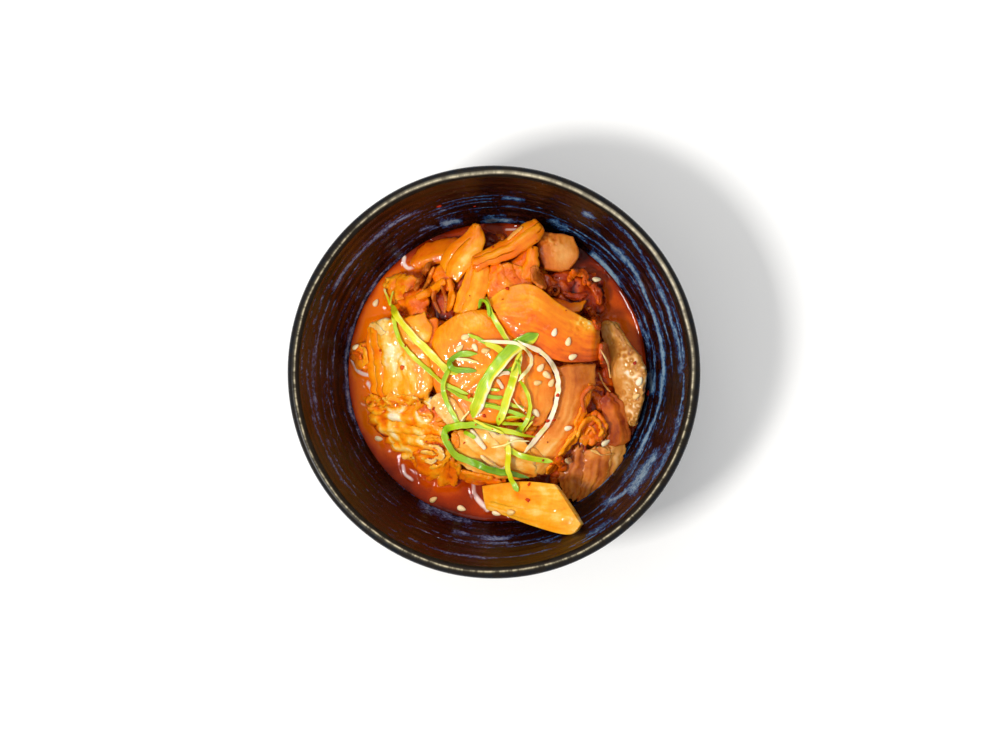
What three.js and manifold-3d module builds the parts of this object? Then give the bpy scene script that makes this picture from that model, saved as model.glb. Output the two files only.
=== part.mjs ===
// A small glazed stoneware bowl of cabbage kimchi: the bowl, its red broth, the heap of cut cabbage,
// five cut stems that lie apart on it, and a tangle of shredded scallion on top.
// Millimetres, +Z up, the origin at the middle of the foot ring's resting face.
import * as THREE from 'three';
import { mergeVertices } from 'three/addons/utils/BufferGeometryUtils.js';
import Module from 'manifold-3d';

const wasm = await Module();
wasm.setup();

// ---- Driving dimensions ----
const RIM_RADIUS = 66; // outside of the lip
const RIM_HEIGHT = 58; // top of the lip
const LIP_RADIUS = 2; // the lip is a half round, so the wall is twice this thick there
const FOOT_OUTER = 28; // foot ring, outside radius
const FOOT_INNER = 23.5; // foot ring, inside radius
const FOOT_RECESS = 3; // height of the base inside the foot ring
const BOWL_SIDES = 60;
const BROTH_LEVEL = 22;
const GAP = 0.35; // kept between neighbouring solids
const HEAP_CENTRE = [1, 0];
const HEAP_RADII = [45, 39, 44, 44, 44, 44, 43, 42, 39, 36, 42, 45]; // every 30 degrees from +X
const HEAP_EDGE = 21; // height of the core at its outline
const HEAP_TOP = 36; // height of the core at its middle
const SEED = { length: 3.1, width: 1.9, height: 1.3 };

// ---- Small helpers ----
const clamp = (value, low, high) => Math.min(Math.max(value, low), high);
const mix = (a, b, t) => a + (b - a) * t;

/** Value at u (0 to 1) of a smooth curve through evenly spaced values; its ends go on straight. */
function through(values, u) {
  const last = values.length - 1;
  if (last === 0) return values[0];
  const place = clamp(u, 0, 1) * last;
  const i = Math.min(Math.floor(place), last - 1);
  const t = place - i;
  const b = values[i];
  const c = values[i + 1];
  const a = i > 0 ? values[i - 1] : 2 * b - c;
  const d = i + 2 <= last ? values[i + 2] : 2 * c - b;
  return b + 0.5 * t * (c - a + t * (2 * a - 5 * b + 4 * c - d + t * (3 * (b - c) + d - a)));
}

/** Point at u of a smooth curve through a few [x, y, z] points. */
function along(points, u) {
  return new THREE.Vector3(...[0, 1, 2].map((axis) => through(points.map((p) => p[axis]), u)));
}

/** Turns a closed geometry into a manifold solid, with its faces outwards. */
function solid(geometry) {
  const bare = geometry.clone();
  bare.deleteAttribute('normal');
  bare.deleteAttribute('uv');
  const merged = mergeVertices(bare, 1e-4);
  const p = merged.attributes.position;
  const index = Array.from(merged.index.array);
  const whole = [];
  for (let i = 0; i < index.length; i += 3) {
    const [a, b, c] = index.slice(i, i + 3);
    if (a !== b && b !== c && c !== a) whole.push(a, b, c);
  }
  const at = (i) => new THREE.Vector3().fromBufferAttribute(p, i);
  let volume = 0;
  for (let i = 0; i < whole.length; i += 3) {
    volume += at(whole[i]).dot(at(whole[i + 1]).cross(at(whole[i + 2])));
  }
  const faces = volume < 0 ? whole.reverse() : whole;
  const mesh = new wasm.Mesh({
    numProp: 3,
    vertProperties: new Float32Array(p.array),
    triVerts: new Uint32Array(faces),
  });
  mesh.merge();
  return new wasm.Manifold(mesh);
}

/** The largest connected piece of a solid: what a cut leaves over is dropped. */
function largest(body) {
  const pieces = body.decompose();
  return pieces.reduce((best, piece) => (piece.volume() > best.volume() ? piece : best));
}

/** A BufferGeometry from a manifold solid. */
function geometryOf(body) {
  const mesh = body.getMesh();
  const geometry = new THREE.BufferGeometry();
  const places = new Float32Array(mesh.vertProperties);
  geometry.setAttribute('position', new THREE.BufferAttribute(places, 3));
  geometry.setIndex(new THREE.BufferAttribute(new Uint32Array(mesh.triVerts), 1));
  geometry.computeVertexNormals();
  return geometry;
}

/** A closed solid of revolution round Z from [radius, height] points that start and end on the axis. */
function turned(profile, sides) {
  const lathe = new THREE.LatheGeometry(profile.map(([r, z]) => new THREE.Vector2(r, z)), sides);
  lathe.rotateX(Math.PI / 2);
  return solid(lathe);
}

// ---- The bowl ----
// Wall profiles, [radius, height] from the bottom up.
const INNER_WALL = [
  [0, 7.5], [20, 8.2], [33, 10.5], [42, 14.8], [47, 18.6], [50, 22], [54, 31], [58, 42.5], [62, 56],
];
const OUTER_WALL = [[29, 6.2], [39, 8.6], [47, 13], [53, 19.5], [58, 28], [62.2, 38], [64.9, 48], [66, 56]];

/** Points [radius, height] of a smooth profile through the given ones. */
function profile(points, steps, shrink = 0) {
  return Array.from({ length: steps + 1 }, (_, i) => {
    const u = i / steps;
    const r = through(points.map((p) => p[0]), u);
    const z = through(points.map((p) => p[1]), u);
    return [Math.max(r - shrink, 0), z + (u < 0.3 ? shrink : shrink * 0.4)];
  });
}

function bowl() {
  const foot = [
    [0, FOOT_RECESS],
    [FOOT_INNER - 1, FOOT_RECESS],
    [FOOT_INNER, FOOT_RECESS - 0.8],
    [FOOT_INNER + 0.4, 0],
    [FOOT_OUTER - 0.8, 0],
    [FOOT_OUTER, 0.8],
    [FOOT_OUTER - 0.2, 5],
  ];
  const lip = Array.from({ length: 5 }, (_, i) => {
    const angle = (Math.PI * (i + 1)) / 6;
    const radius = RIM_RADIUS - LIP_RADIUS + LIP_RADIUS * Math.cos(angle);
    return [radius, RIM_HEIGHT - LIP_RADIUS + LIP_RADIUS * Math.sin(angle)];
  });
  const inside = profile(INNER_WALL, 12).reverse();
  return turned([...foot, ...profile(OUTER_WALL, 9), ...lip, ...inside], BOWL_SIDES);
}

/** The room inside the bowl up to a height, a gap inside its wall. */
function roomInside(top) {
  const wall = profile(INNER_WALL, 12, GAP).filter(([, z]) => z < top);
  const reach = wall.length;
  const full = profile(INNER_WALL, 12, GAP);
  const [r0, z0] = full[reach - 1];
  const [r1, z1] = full[Math.min(reach, full.length - 1)];
  const edge = z1 > z0 ? mix(r0, r1, clamp((top - z0) / (z1 - z0), 0, 1)) : r0;
  return turned([...wall, [edge, top], [0, top]], BOWL_SIDES);
}

// ---- The heap's core ----
function heapRadius(angle) {
  const turn = ((angle / (2 * Math.PI)) % 1 + 1) % 1;
  const wrapped = [...HEAP_RADII.slice(-2), ...HEAP_RADII, ...HEAP_RADII.slice(0, 3)];
  return through(wrapped, (2 + turn * HEAP_RADII.length) / (wrapped.length - 1));
}

/** Height of the core's top surface over a place: a parabola from its middle to its outline. */
function mound(x, y) {
  const [dx, dy] = [x - HEAP_CENTRE[0], y - HEAP_CENTRE[1]];
  const share = Math.hypot(dx, dy) / heapRadius(Math.atan2(dy, dx));
  return HEAP_EDGE + (HEAP_TOP - HEAP_EDGE) * (1 - Math.min(share, 1) ** 2);
}

function heapCore(grow = 0) {
  const sectors = 36;
  const rings = 5;
  const positions = [];
  const ringAt = (share, height) => {
    for (let i = 0; i < sectors; i += 1) {
      const angle = (2 * Math.PI * i) / sectors;
      const radius = (heapRadius(angle) + grow) * share;
      const x = HEAP_CENTRE[0] + radius * Math.cos(angle);
      const y = HEAP_CENTRE[1] + radius * Math.sin(angle);
      const bump = 0.7 * Math.sin(angle * 7 + share * 9) * share;
      positions.push(x, y, height ?? mound(x, y) + bump + grow);
    }
  };
  const [cx, cy] = HEAP_CENTRE;
  positions.push(cx, cy, 6, cx, cy, HEAP_TOP + grow);
  ringAt(0.7, 6);
  ringAt(1, 12);
  for (let ring = rings; ring > 0; ring -= 1) ringAt(ring / rings);
  const faces = [];
  const levels = rings + 2;
  for (let i = 0; i < sectors; i += 1) {
    const next = (i + 1) % sectors;
    faces.push(0, 2 + next, 2 + i);
    for (let level = 0; level < levels - 1; level += 1) {
      const a = 2 + level * sectors;
      const b = a + sectors;
      faces.push(a + i, a + next, b + next, a + i, b + next, b + i);
    }
    const last = 2 + (levels - 1) * sectors;
    faces.push(1, last + i, last + next);
  }
  const geometry = new THREE.BufferGeometry();
  geometry.setAttribute('position', new THREE.Float32BufferAttribute(positions, 3));
  geometry.setIndex(faces);
  return solid(geometry);
}

// ---- Leaves and stems ----
/**
 * A cut piece of cabbage, as a closed solid between two edge curves. The middle surface runs straight
 * from one edge to the other, raised by crown in the middle, and waved by frill towards the edges.
 */
function leaf(sizes, grow = 0) {
  const { left, right, thick, crown = 0, frill = 0, waves = 3, edge = 0.6, steps = 7, across = 4 } = sizes;
  const middle = [];
  for (let i = 0; i <= steps; i += 1) {
    const u = i / steps;
    const [a, b] = [along(left, u), along(right, u)];
    const row = [];
    for (let j = 0; j <= across; j += 1) {
      const v = j / across;
      const side = 2 * v - 1;
      const point = a.clone().lerp(b, v);
      point.z += crown * (1 - side * side);
      point.z += frill * side * Math.sin(2 * Math.PI * waves * u + 2 * v) * Math.abs(side);
      row.push(point);
    }
    middle.push(row);
  }
  if (grow > 0) {
    const push = (row, at, from) => {
      const out = row[at].clone().sub(row[from]).setLength(grow);
      row[at].add(out);
    };
    for (const row of middle) {
      push(row, 0, 1);
      push(row, across, across - 1);
    }
    for (let j = 0; j <= across; j += 1) {
      const column = middle.map((row) => row[j]);
      push(column, 0, 1);
      push(column, steps, steps - 1);
    }
  }
  const top = [];
  const bottom = [];
  for (let i = 0; i <= steps; i += 1) {
    for (let j = 0; j <= across; j += 1) {
      const du = middle[Math.min(i + 1, steps)][j].clone().sub(middle[Math.max(i - 1, 0)][j]);
      const dv = middle[i][Math.min(j + 1, across)].clone().sub(middle[i][Math.max(j - 1, 0)]);
      const normal = du.cross(dv).normalize();
      if (normal.z < 0) normal.negate();
      const rim = i === 0 || j === 0 || i === steps || j === across;
      const half = (thick / 2) * (rim ? edge : 1) + grow;
      top.push(middle[i][j].clone().addScaledVector(normal, half));
      bottom.push(middle[i][j].clone().addScaledVector(normal, -half));
    }
  }
  const wide = across + 1;
  const faces = [];
  for (let i = 0; i < steps; i += 1) {
    for (let j = 0; j < across; j += 1) {
      const a = i * wide + j;
      faces.push([a, a + 1, a + wide + 1], [a, a + wide + 1, a + wide]);
    }
  }
  const count = top.length;
  const around = [];
  for (let j = 0; j < across; j += 1) around.push(j);
  for (let i = 0; i < steps; i += 1) around.push(i * wide + across);
  for (let j = across; j > 0; j -= 1) around.push(steps * wide + j);
  for (let i = steps; i > 0; i -= 1) around.push(i * wide);
  const index = [];
  for (const [a, b, c] of faces) index.push(a, b, c, count + a, count + c, count + b);
  around.forEach((a, k) => {
    const b = around[(k + 1) % around.length];
    index.push(b, a, count + a, b, count + a, count + b);
  });
  const geometry = new THREE.BufferGeometry();
  const places = [...top, ...bottom].flatMap((p) => p.toArray());
  geometry.setAttribute('position', new THREE.Float32BufferAttribute(places, 3));
  geometry.setIndex(index);
  return solid(geometry);
}

// Cut stems that lie apart on the heap, each a node of its own.
const STEMS = {
  front_stem: {
    left: [[-5, -38.5, 24.5], [8, -37, 31], [20.5, -37, 39]],
    right: [[-4, -45.5, 25], [11.5, -51, 34], [28.3, -52, 45.5]],
    thick: 4, crown: 1.5, edge: 0.7,
  },
  wall_stem: {
    left: [[34.5, 18, 24], [38.5, 4, 25], [43.5, -17, 24]],
    right: [[40, 18.5, 28], [50, 1.5, 31], [48, -18, 27.5]],
    thick: 3.4, crown: 0.6,
  },
  upper_stem: {
    left: [[1, 19, 37], [10, 26, 38.5], [22, 22.5, 37.5], [33, 14.5, 33.5]],
    right: [[3.5, 7, 40.5], [13, 1, 41], [23, 1, 38.5], [33.5, 5, 32.5]],
    thick: 4.2, crown: 2, edge: 0.75,
  },
  top_left_stem: {
    left: [[-7, 50, 32], [-11.5, 44, 32.5], [-19.5, 36, 31.5]],
    right: [[-6, 49.5, 32], [-3, 41, 34], [-13, 29, 35]],
    thick: 2.6, crown: 2,
  },
  top_block: {
    left: [[16, 46.5, 29.5], [15, 40, 31], [15, 33.5, 31]],
    right: [[27.5, 43.5, 29.5], [28, 38, 30.5], [25.5, 31.5, 30.5]],
    thick: 5, crown: 1, edge: 0.8,
  },
};

// Leaves and stems that are one with the heap, from the largest.
const HEAP_PIECES = {
  dome_leaf: {
    left: [[-17, 18, 36], [-21, 2.5, 36.5], [-15, -18, 34]],
    right: [[1, 22, 36.5], [13, 6, 38], [17.5, -17, 36.5]],
    thick: 2.4, crown: 3, steps: 8, across: 6,
  },
  left_stem: {
    left: [[-40.5, 18, 28], [-43.5, 5, 27.5], [-39.5, -10, 27]],
    right: [[-27, 21, 34], [-21.5, 7.5, 36.5], [-18, -9, 35.5]],
    thick: 4, crown: 1.5, across: 5,
  },
  right_stem: {
    left: [[17.5, 3, 37], [16.5, -12.5, 36.5], [10.5, -25, 33.5], [4, -33, 30]],
    right: [[33, 1, 32], [28.5, -11, 31], [23, -22.5, 29], [14.5, -35.5, 26]],
    thick: 3, crown: 1.6, across: 5,
  },
  lower_left_leaf: {
    left: [[-43.5, -6, 26], [-39, -19, 24.5], [-30, -29, 24], [-19, -37, 24]],
    right: [[-17.5, -6, 35], [-13.5, -16, 34.5], [-12, -25, 32.5], [-13, -34, 27]],
    thick: 1.8, crown: 1, frill: 1.2, waves: 4, steps: 10, across: 5,
  },
  lower_leaf: {
    left: [[-18.5, -20, 34], [-4.5, -18.5, 36], [13.5, -20, 35]],
    right: [[-17.5, -35, 28], [-2, -37.5, 25.5], [16, -35.5, 26]],
    thick: 2, crown: 2, frill: 0.6, waves: 2,
  },
  fan_leaf: {
    left: [[34.5, -2, 27.5], [32, -16, 28], [26, -28, 26], [22, -38.5, 24.5]],
    right: [[44.5, -7, 27.5], [46.5, -20, 26], [41.5, -32, 24.5], [31, -43, 24]],
    thick: 1.8, crown: 1.5, frill: 0.9, waves: 3,
  },
  top_strip: {
    left: [[13.5, 50.5, 32.5], [4, 44, 34], [-8, 36.5, 34.5]],
    right: [[17.5, 46, 33], [10, 38, 36], [-4, 31.5, 36.5]],
    thick: 3, crown: 2, across: 3,
  },
  crumpled_leaf: {
    left: [[-38, 28.5, 25.5], [-35, 22, 28.5], [-31.5, 16.5, 31]],
    right: [[-22, 36.5, 30], [-17, 30, 32], [-15, 23, 33.5]],
    thick: 2, crown: 0.6, frill: 1.6, waves: 2.5, across: 5,
  },
  middle_strip: {
    left: [[-10, 36, 35], [-12, 27, 36], [-13, 18, 37]],
    right: [[-3.5, 36, 36], [-4, 27, 37], [-4.5, 18, 38]],
    thick: 2.2, crown: 1, steps: 5, across: 3,
  },
  sunk_leaf: {
    left: [[-29, 36, 23.2], [-22, 41.5, 23.4], [-12.5, 44.5, 24]],
    right: [[-24, 30, 25], [-17.5, 33, 25.5], [-11, 37, 27]],
    thick: 3, crown: 0.8, steps: 5, across: 3,
  },
  square_chip: {
    left: [[-31.5, 18, 35.5], [-30, 8.5, 36.5]],
    right: [[-23.5, 20.5, 36.5], [-20.5, 10, 38]],
    thick: 2, crown: 0.6, steps: 3, across: 3,
  },
  branch_strip: {
    left: [[10.5, 43, 33], [8, 32.5, 35]],
    right: [[15.5, 40.5, 33], [15, 26.5, 35]],
    thick: 2, crown: 1, steps: 4, across: 3,
  },
  dark_curls: {
    left: [[15, 32, 28], [19, 24, 30]],
    right: [[34.5, 31.5, 25], [36, 22, 25.5]],
    thick: 3, crown: 1.5, frill: 1, waves: 2, steps: 5,
  },
  red_hollow: {
    left: [[-23, 28, 31], [-20, 17, 33]],
    right: [[-15, 28, 32], [-13, 17, 34]],
    thick: 2, crown: 0.5, steps: 3, across: 3,
  },
  fan_curl: {
    left: [[26.5, -14, 31], [28, -22, 29]],
    right: [[33, -12.5, 30.5], [37, -22, 29]],
    thick: 2.4, crown: 1, frill: 0.8, waves: 1, steps: 4, across: 3,
  },
  left_curl: {
    left: [[-48.2, 6, 24], [-46.5, 1, 24]],
    right: [[-43, 9.5, 26], [-40, 3, 27]],
    thick: 2.4, crown: 1, steps: 3, across: 3,
  },
  back_leaf: {
    left: [[-3, 34, 35], [-2, 20, 37]],
    right: [[11.5, 36, 33.5], [14, 23, 36]],
    thick: 2, crown: 0.8, frill: 0.5, waves: 2, steps: 5,
  },
  brown_bit: {
    left: [[-5.5, 46, 23.5], [-5, 40.5, 25]],
    right: [[0.5, 46, 23.5], [0.5, 40.5, 25]],
    thick: 3.5, crown: 1, steps: 3, across: 3,
  },
  right_sliver: {
    left: [[20, 25, 31], [29.5, 23.5, 30]],
    right: [[20, 21, 34], [29.5, 20, 32]],
    thick: 1.6, crown: 0.5, steps: 3, across: 2,
  },
};

const room = roomInside(RIM_HEIGHT - 1);
const flooded = roomInside(BROTH_LEVEL + GAP);
const core = heapCore().intersect(room);
const brothOutsideCore = flooded.subtract(core);

/** A piece of food kept inside the bowl and above the broth, apart from where the core carries it. */
const fitted = (body) => body.intersect(room).subtract(brothOutsideCore);

const stems = Object.fromEntries(
  Object.entries(STEMS).map(([name, sizes]) => [name, largest(fitted(leaf(sizes)).subtract(core))]),
);
let heap = core;
for (const sizes of Object.values(HEAP_PIECES)) heap = heap.add(fitted(leaf(sizes)));
for (const sizes of Object.values(STEMS)) heap = heap.subtract(leaf(sizes, GAP));
heap = largest(heap);

const broth = largest(roomInside(BROTH_LEVEL).subtract(heapCore(GAP)));

// ---- Resting small things on what is there ----
const caster = new THREE.Raycaster();
const DOWN = new THREE.Vector3(0, 0, -1);

/** Where a line dropped over (x, y) first meets one of the solids: its height, slope and name. */
function landing(x, y, meshes) {
  caster.set(new THREE.Vector3(x, y, RIM_HEIGHT * 2), DOWN);
  const hit = caster.intersectObjects(meshes, false)[0];
  return hit ? { z: hit.point.z, normal: hit.face.normal, name: hit.object.name } : null;
}

function meshOf(body, name = '') {
  const material = new THREE.MeshStandardMaterial({ side: THREE.DoubleSide });
  const mesh = new THREE.Mesh(geometryOf(body), material);
  mesh.name = name;
  return mesh;
}

// ---- Sesame seeds, [x, y, turn in degrees] ----
const SEEDS = [
  [-9.5, 11.5, 20], [-6.5, 8, -60], [-11.5, 8, 40], [-3, 7, 10],
  [19.5, 13, 70], [24, 10, 75], [25.5, 5, 20], [15, 1.5, 50], [17, -1, -40], [14, -3.5, 10], [18.5, -3.5, 60],
  [13.5, -13.5, -50], [24, -18.5, 10], [36.5, -23.5, 20], [47.5, -3, 60], [46.5, -8, 30], [33.5, 31, 10],
  [-40, -22.5, 5], [-47.3, 8.5, 20], [-41, 23.5, 60],
  [-21.5, -43, 30], [-12, -46, -20], [0, -47.2, 0], [5, -46.5, 10],
];

function seed(x, y, turn, surface) {
  const shape = new THREE.SphereGeometry(1, 6, 4);
  shape.scale(SEED.length / 2, SEED.width / 2, SEED.height / 2);
  shape.rotateZ(THREE.MathUtils.degToRad(turn));
  const lean = new THREE.Quaternion().setFromUnitVectors(new THREE.Vector3(0, 0, 1), surface.normal);
  shape.applyQuaternion(lean);
  shape.translate(x, y, surface.z);
  return solid(shape);
}

// ---- Scallion shreds: the path of each seen from above, and its width ----
const SHREDS = {
  long_yellow: { path: [[-37, 28], [-33.2, 20.3], [-28.5, 13.8], [-16.5, 3], [-12, -0.5]], wide: 2.6 },
  long_olive: { path: [[-31.5, 24], [-34, 17], [-28, 4.5], [-17, -4.5], [-8, -7.5]], wide: 1.6 },
  broad_blade: { path: [[14, 12], [6.5, 8], [-2, -2], [-7.5, -15]], wide: 4.2 },
  second_blade: { path: [[8.5, 6.5], [5.5, -4], [1, -17.5]], wide: 2.8 },
  top_thread: { path: [[-3, 24], [0.5, 15.5], [5, 9]], wide: 1.6 },
  dark_thread: { path: [[-9, 12.4], [-3.2, 9.5], [4, 5.5]], wide: 1.4 },
  cream_loop: { path: [[-4.5, 10.5], [6, 9.5], [11, 6.5], [11.5, 2.5], [8, -3]], wide: 1.2 },
  pale_arc: { path: [[9, 10], [16, 5.5], [20, -1], [20.5, -8], [16.5, -18], [9, -27]], wide: 1.7 },
  rolled_ring: { path: [[-5.7, 5.7], [-11.8, 5.3], [-14.5, 3.3], [-13, 1.3], [-6, 0.7]], wide: 2 },
  green_arc: { path: [[-14.5, 2.6], [-17.1, -4], [-15.9, -10], [-13.3, -14.9], [-11.4, -18]], wide: 1.8 },
  long_loop: {
    path: [
      [13, -21.5], [-2, -18], [-12, -17.5], [-17, -20.5], [-13, -27.5], [-5.5, -30.5], [0, -32.5], [11, -35],
    ],
    wide: 2.4,
  },
  cross_blade: { path: [[3, -25], [8.5, -27.5], [19, -29.5]], wide: 2 },
  down_thread: { path: [[4, -24], [4.5, -33], [7.5, -39]], wide: 2 },
  short_arc: { path: [[8, -2], [11.5, -8.5], [10.5, -15], [8, -20.5]], wide: 1.4 },
  cross_strip: { path: [[-16.5, -5.5], [-5.5, -10], [0, -11.5], [10, -14.5]], wide: 1.6 },
};
const SHRED_THICK = 1.2;

/** A flat strip with four sides, laid over the food along its path. */
function shred({ path, wide }, meshes) {
  const flat = path.map(([x, y]) => [x, y, 0]);
  const steps = Math.max(4, path.length * 2);
  const fine = steps * 4;
  const stationAt = (u) => {
    const here = along(flat, u);
    const ahead = along(flat, Math.min(u + 0.02, 1)).sub(along(flat, Math.max(u - 0.02, 0))).normalize();
    return { here, side: new THREE.Vector3(-ahead.y, ahead.x, 0).multiplyScalar(wide / 2) };
  };
  const heights = Array.from({ length: fine + 1 }, (_, k) => {
    const { here, side } = stationAt(k / fine);
    const spots = [-1.3, 0, 1.3].map((s) => here.clone().addScaledVector(side, s));
    return Math.max(...spots.map((p) => landing(p.x, p.y, meshes)?.z ?? BROTH_LEVEL));
  });
  const positions = [];
  for (let k = 0; k <= steps; k += 1) {
    const near = heights.slice(Math.max(0, k * 4 - 4), k * 4 + 5);
    const floor = Math.max(...near) + GAP;
    const { here, side } = stationAt(k / steps);
    const taper = k === 0 || k === steps ? 0.4 : 1;
    const corner = (s, z) => {
      const p = here.clone().addScaledVector(side, s * taper);
      positions.push(p.x, p.y, z);
    };
    corner(-1, floor);
    corner(1, floor);
    corner(1, floor + SHRED_THICK);
    corner(-1, floor + SHRED_THICK);
  }
  const index = [0, 1, 2, 0, 2, 3];
  for (let k = 0; k < steps; k += 1) {
    for (let c = 0; c < 4; c += 1) {
      const a = k * 4 + c;
      const b = k * 4 + ((c + 1) % 4);
      index.push(a, a + 4, b + 4, a, b + 4, b);
    }
  }
  const end = steps * 4;
  index.push(end, end + 2, end + 1, end, end + 3, end + 2);
  const geometry = new THREE.BufferGeometry();
  geometry.setAttribute('position', new THREE.Float32BufferAttribute(positions, 3));
  geometry.setIndex(index);
  return solid(geometry);
}

// ---- Fusing the seeds, then laying the scallion over everything ----
const food = { broth, kimchi_heap: heap, ...stems };
const bare = Object.entries(food).map(([name, body]) => meshOf(body, name));
for (const [x, y, turn] of SEEDS) {
  const surface = landing(x, y, bare);
  if (!surface) continue;
  food[surface.name] = food[surface.name].add(seed(x, y, turn, surface));
}
const seeded = Object.entries(food).map(([name, body]) => meshOf(body, name));
const tangle = Object.values(SHREDS).map((sizes) => shred(sizes, seeded)).reduce((a, b) => a.add(b));
food.scallion_shreds = largest(tangle);

// ---- The scene graph ----
const FINISHES = {
  bowl: { color: 0x2a1710, roughness: 0.25, metalness: 0 },
  broth: { color: 0xb8440c, roughness: 0.12, metalness: 0 },
  kimchi_heap: { color: 0xf0902a, roughness: 0.35, metalness: 0 },
  front_stem: { color: 0xf7b13f, roughness: 0.3, metalness: 0 },
  wall_stem: { color: 0xcf9a5c, roughness: 0.25, metalness: 0 },
  upper_stem: { color: 0xe2851c, roughness: 0.3, metalness: 0 },
  top_left_stem: { color: 0xf8b854, roughness: 0.3, metalness: 0 },
  top_block: { color: 0xcf963c, roughness: 0.25, metalness: 0 },
  scallion_shreds: { color: 0xa8c81e, roughness: 0.4, metalness: 0 },
};

const kimchi = new THREE.Group();
for (const [name, body] of Object.entries({ bowl: bowl(), ...food })) {
  const mesh = new THREE.Mesh(geometryOf(body), new THREE.MeshStandardMaterial(FINISHES[name]));
  mesh.name = name;
  kimchi.add(mesh);
}

export default kimchi;
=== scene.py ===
# %% [markdown]
# # A bowl of kimchi
# This lesson dresses a small stoneware bowl of cabbage kimchi. The solids of the bowl, the broth, the heap
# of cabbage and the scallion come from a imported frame, in their real size. They say where everything is.
# Each one is replaced here by a finer piece of the same form, because food needs ribs, ragged edges, wet
# gloss and many small differences that a plain solid can't hold.

import math

import bpy
import numpy as np
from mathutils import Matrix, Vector


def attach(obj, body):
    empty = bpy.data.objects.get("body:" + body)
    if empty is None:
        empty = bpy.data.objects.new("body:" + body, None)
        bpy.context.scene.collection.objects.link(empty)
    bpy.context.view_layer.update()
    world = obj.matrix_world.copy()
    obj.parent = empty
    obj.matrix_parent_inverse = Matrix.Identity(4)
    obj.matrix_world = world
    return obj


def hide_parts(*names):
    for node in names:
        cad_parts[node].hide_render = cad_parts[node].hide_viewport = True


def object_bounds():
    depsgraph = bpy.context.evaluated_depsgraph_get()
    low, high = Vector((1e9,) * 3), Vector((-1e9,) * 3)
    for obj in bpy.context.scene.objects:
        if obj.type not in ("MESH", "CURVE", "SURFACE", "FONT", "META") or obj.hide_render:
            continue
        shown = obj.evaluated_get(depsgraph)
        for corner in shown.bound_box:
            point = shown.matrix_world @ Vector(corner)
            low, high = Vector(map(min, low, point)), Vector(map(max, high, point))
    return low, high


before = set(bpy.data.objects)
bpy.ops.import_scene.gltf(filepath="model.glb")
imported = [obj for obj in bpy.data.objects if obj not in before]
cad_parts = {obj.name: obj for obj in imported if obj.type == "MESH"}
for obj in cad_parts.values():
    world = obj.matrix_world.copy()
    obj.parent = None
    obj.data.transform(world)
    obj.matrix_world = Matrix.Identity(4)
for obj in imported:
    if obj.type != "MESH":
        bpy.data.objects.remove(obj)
cad_low, cad_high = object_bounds()
MM = 0.001
print("solids:", sorted(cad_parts))
print("size of the solids, mm:", [round((b - a) / MM, 1) for a, b in zip(cad_low, cad_high)])

# %% [markdown]
# ## Camera
# The bowl is seen from straight above, two degrees off its axis. A longer lens from a little over half a
# metre keeps the wall of the bowl in view all the way round, as the eye would have it over a table. The
# camera only slides sideways to put the bowl where it lies in the picture, so no lens shift is needed.

# %% Camera
RIM_HEIGHT = cad_high[2] / MM
RIM_RADIUS = cad_high[0] / MM
CAMERA_DISTANCE = 600.0
CAMERA_TILT = math.radians(2.0)
PICTURE_WIDTH = 1000
RIM_PIXELS_PER_MM = 3.14
CENTRE_OFFSET = (7.0, 3.0)
SENSOR = 36.0


def add_camera():
    """A camera that looks down at the rim's middle, moved over by the offset in the picture."""
    right = np.array([math.cos(CAMERA_TILT), 0, -math.sin(CAMERA_TILT)])
    ahead = np.array([-math.sin(CAMERA_TILT), 0, -math.cos(CAMERA_TILT)])
    up = np.array([0, 1, 0])
    middle = np.array([0, 0, RIM_HEIGHT])
    middle = middle + (right * CENTRE_OFFSET[0] - up * CENTRE_OFFSET[1]) / RIM_PIXELS_PER_MM
    data = bpy.data.cameras.new("camera")
    data.sensor_width = SENSOR
    data.lens = SENSOR * RIM_PIXELS_PER_MM * CAMERA_DISTANCE / PICTURE_WIDTH
    data.clip_start = 0.01
    camera = bpy.data.objects.new("camera", data)
    camera.location = Vector((middle - ahead * CAMERA_DISTANCE) * MM)
    camera.rotation_euler = (0, CAMERA_TILT, 0)
    bpy.context.collection.objects.link(camera)
    bpy.context.scene.camera = camera
    return camera


camera = add_camera()
print("lens, mm:", round(camera.data.lens, 1))

# %% [markdown]
# ## Numbers into shapes
# Every new piece is worked out with numpy as whole arrays: a grid of places, a curve through a few chosen
# points, and noise for the unevenness of real food. Noise is made from a small table of random values that
# is read at whole places and blended smoothly in between, so the same seed always gives the same shape.

# %% Curves and noise


def through(values, u):
    """Smooth curve through evenly spaced values: between two of them it is the cubic whose slope at each
    is half the step between its neighbours. The ends go on straight. u is an array from 0 to 1."""
    values = np.asarray(values, float)
    last = len(values) - 1
    place = np.clip(np.asarray(u, float), 0, 1) * last
    i = np.minimum(place.astype(int), last - 1)
    t = place - i
    if values.ndim > 1:
        t = t[..., None]
    before = 2 * values[0] - values[1]
    after = 2 * values[-1] - values[-2]
    padded = np.concatenate([[before], values, [after]])
    a, b, c, d = padded[i], padded[i + 1], padded[i + 2], padded[i + 3]
    return b + 0.5 * t * (c - a + t * (2 * a - 5 * b + 4 * c - d + t * (3 * (b - c) + d - a)))


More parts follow.
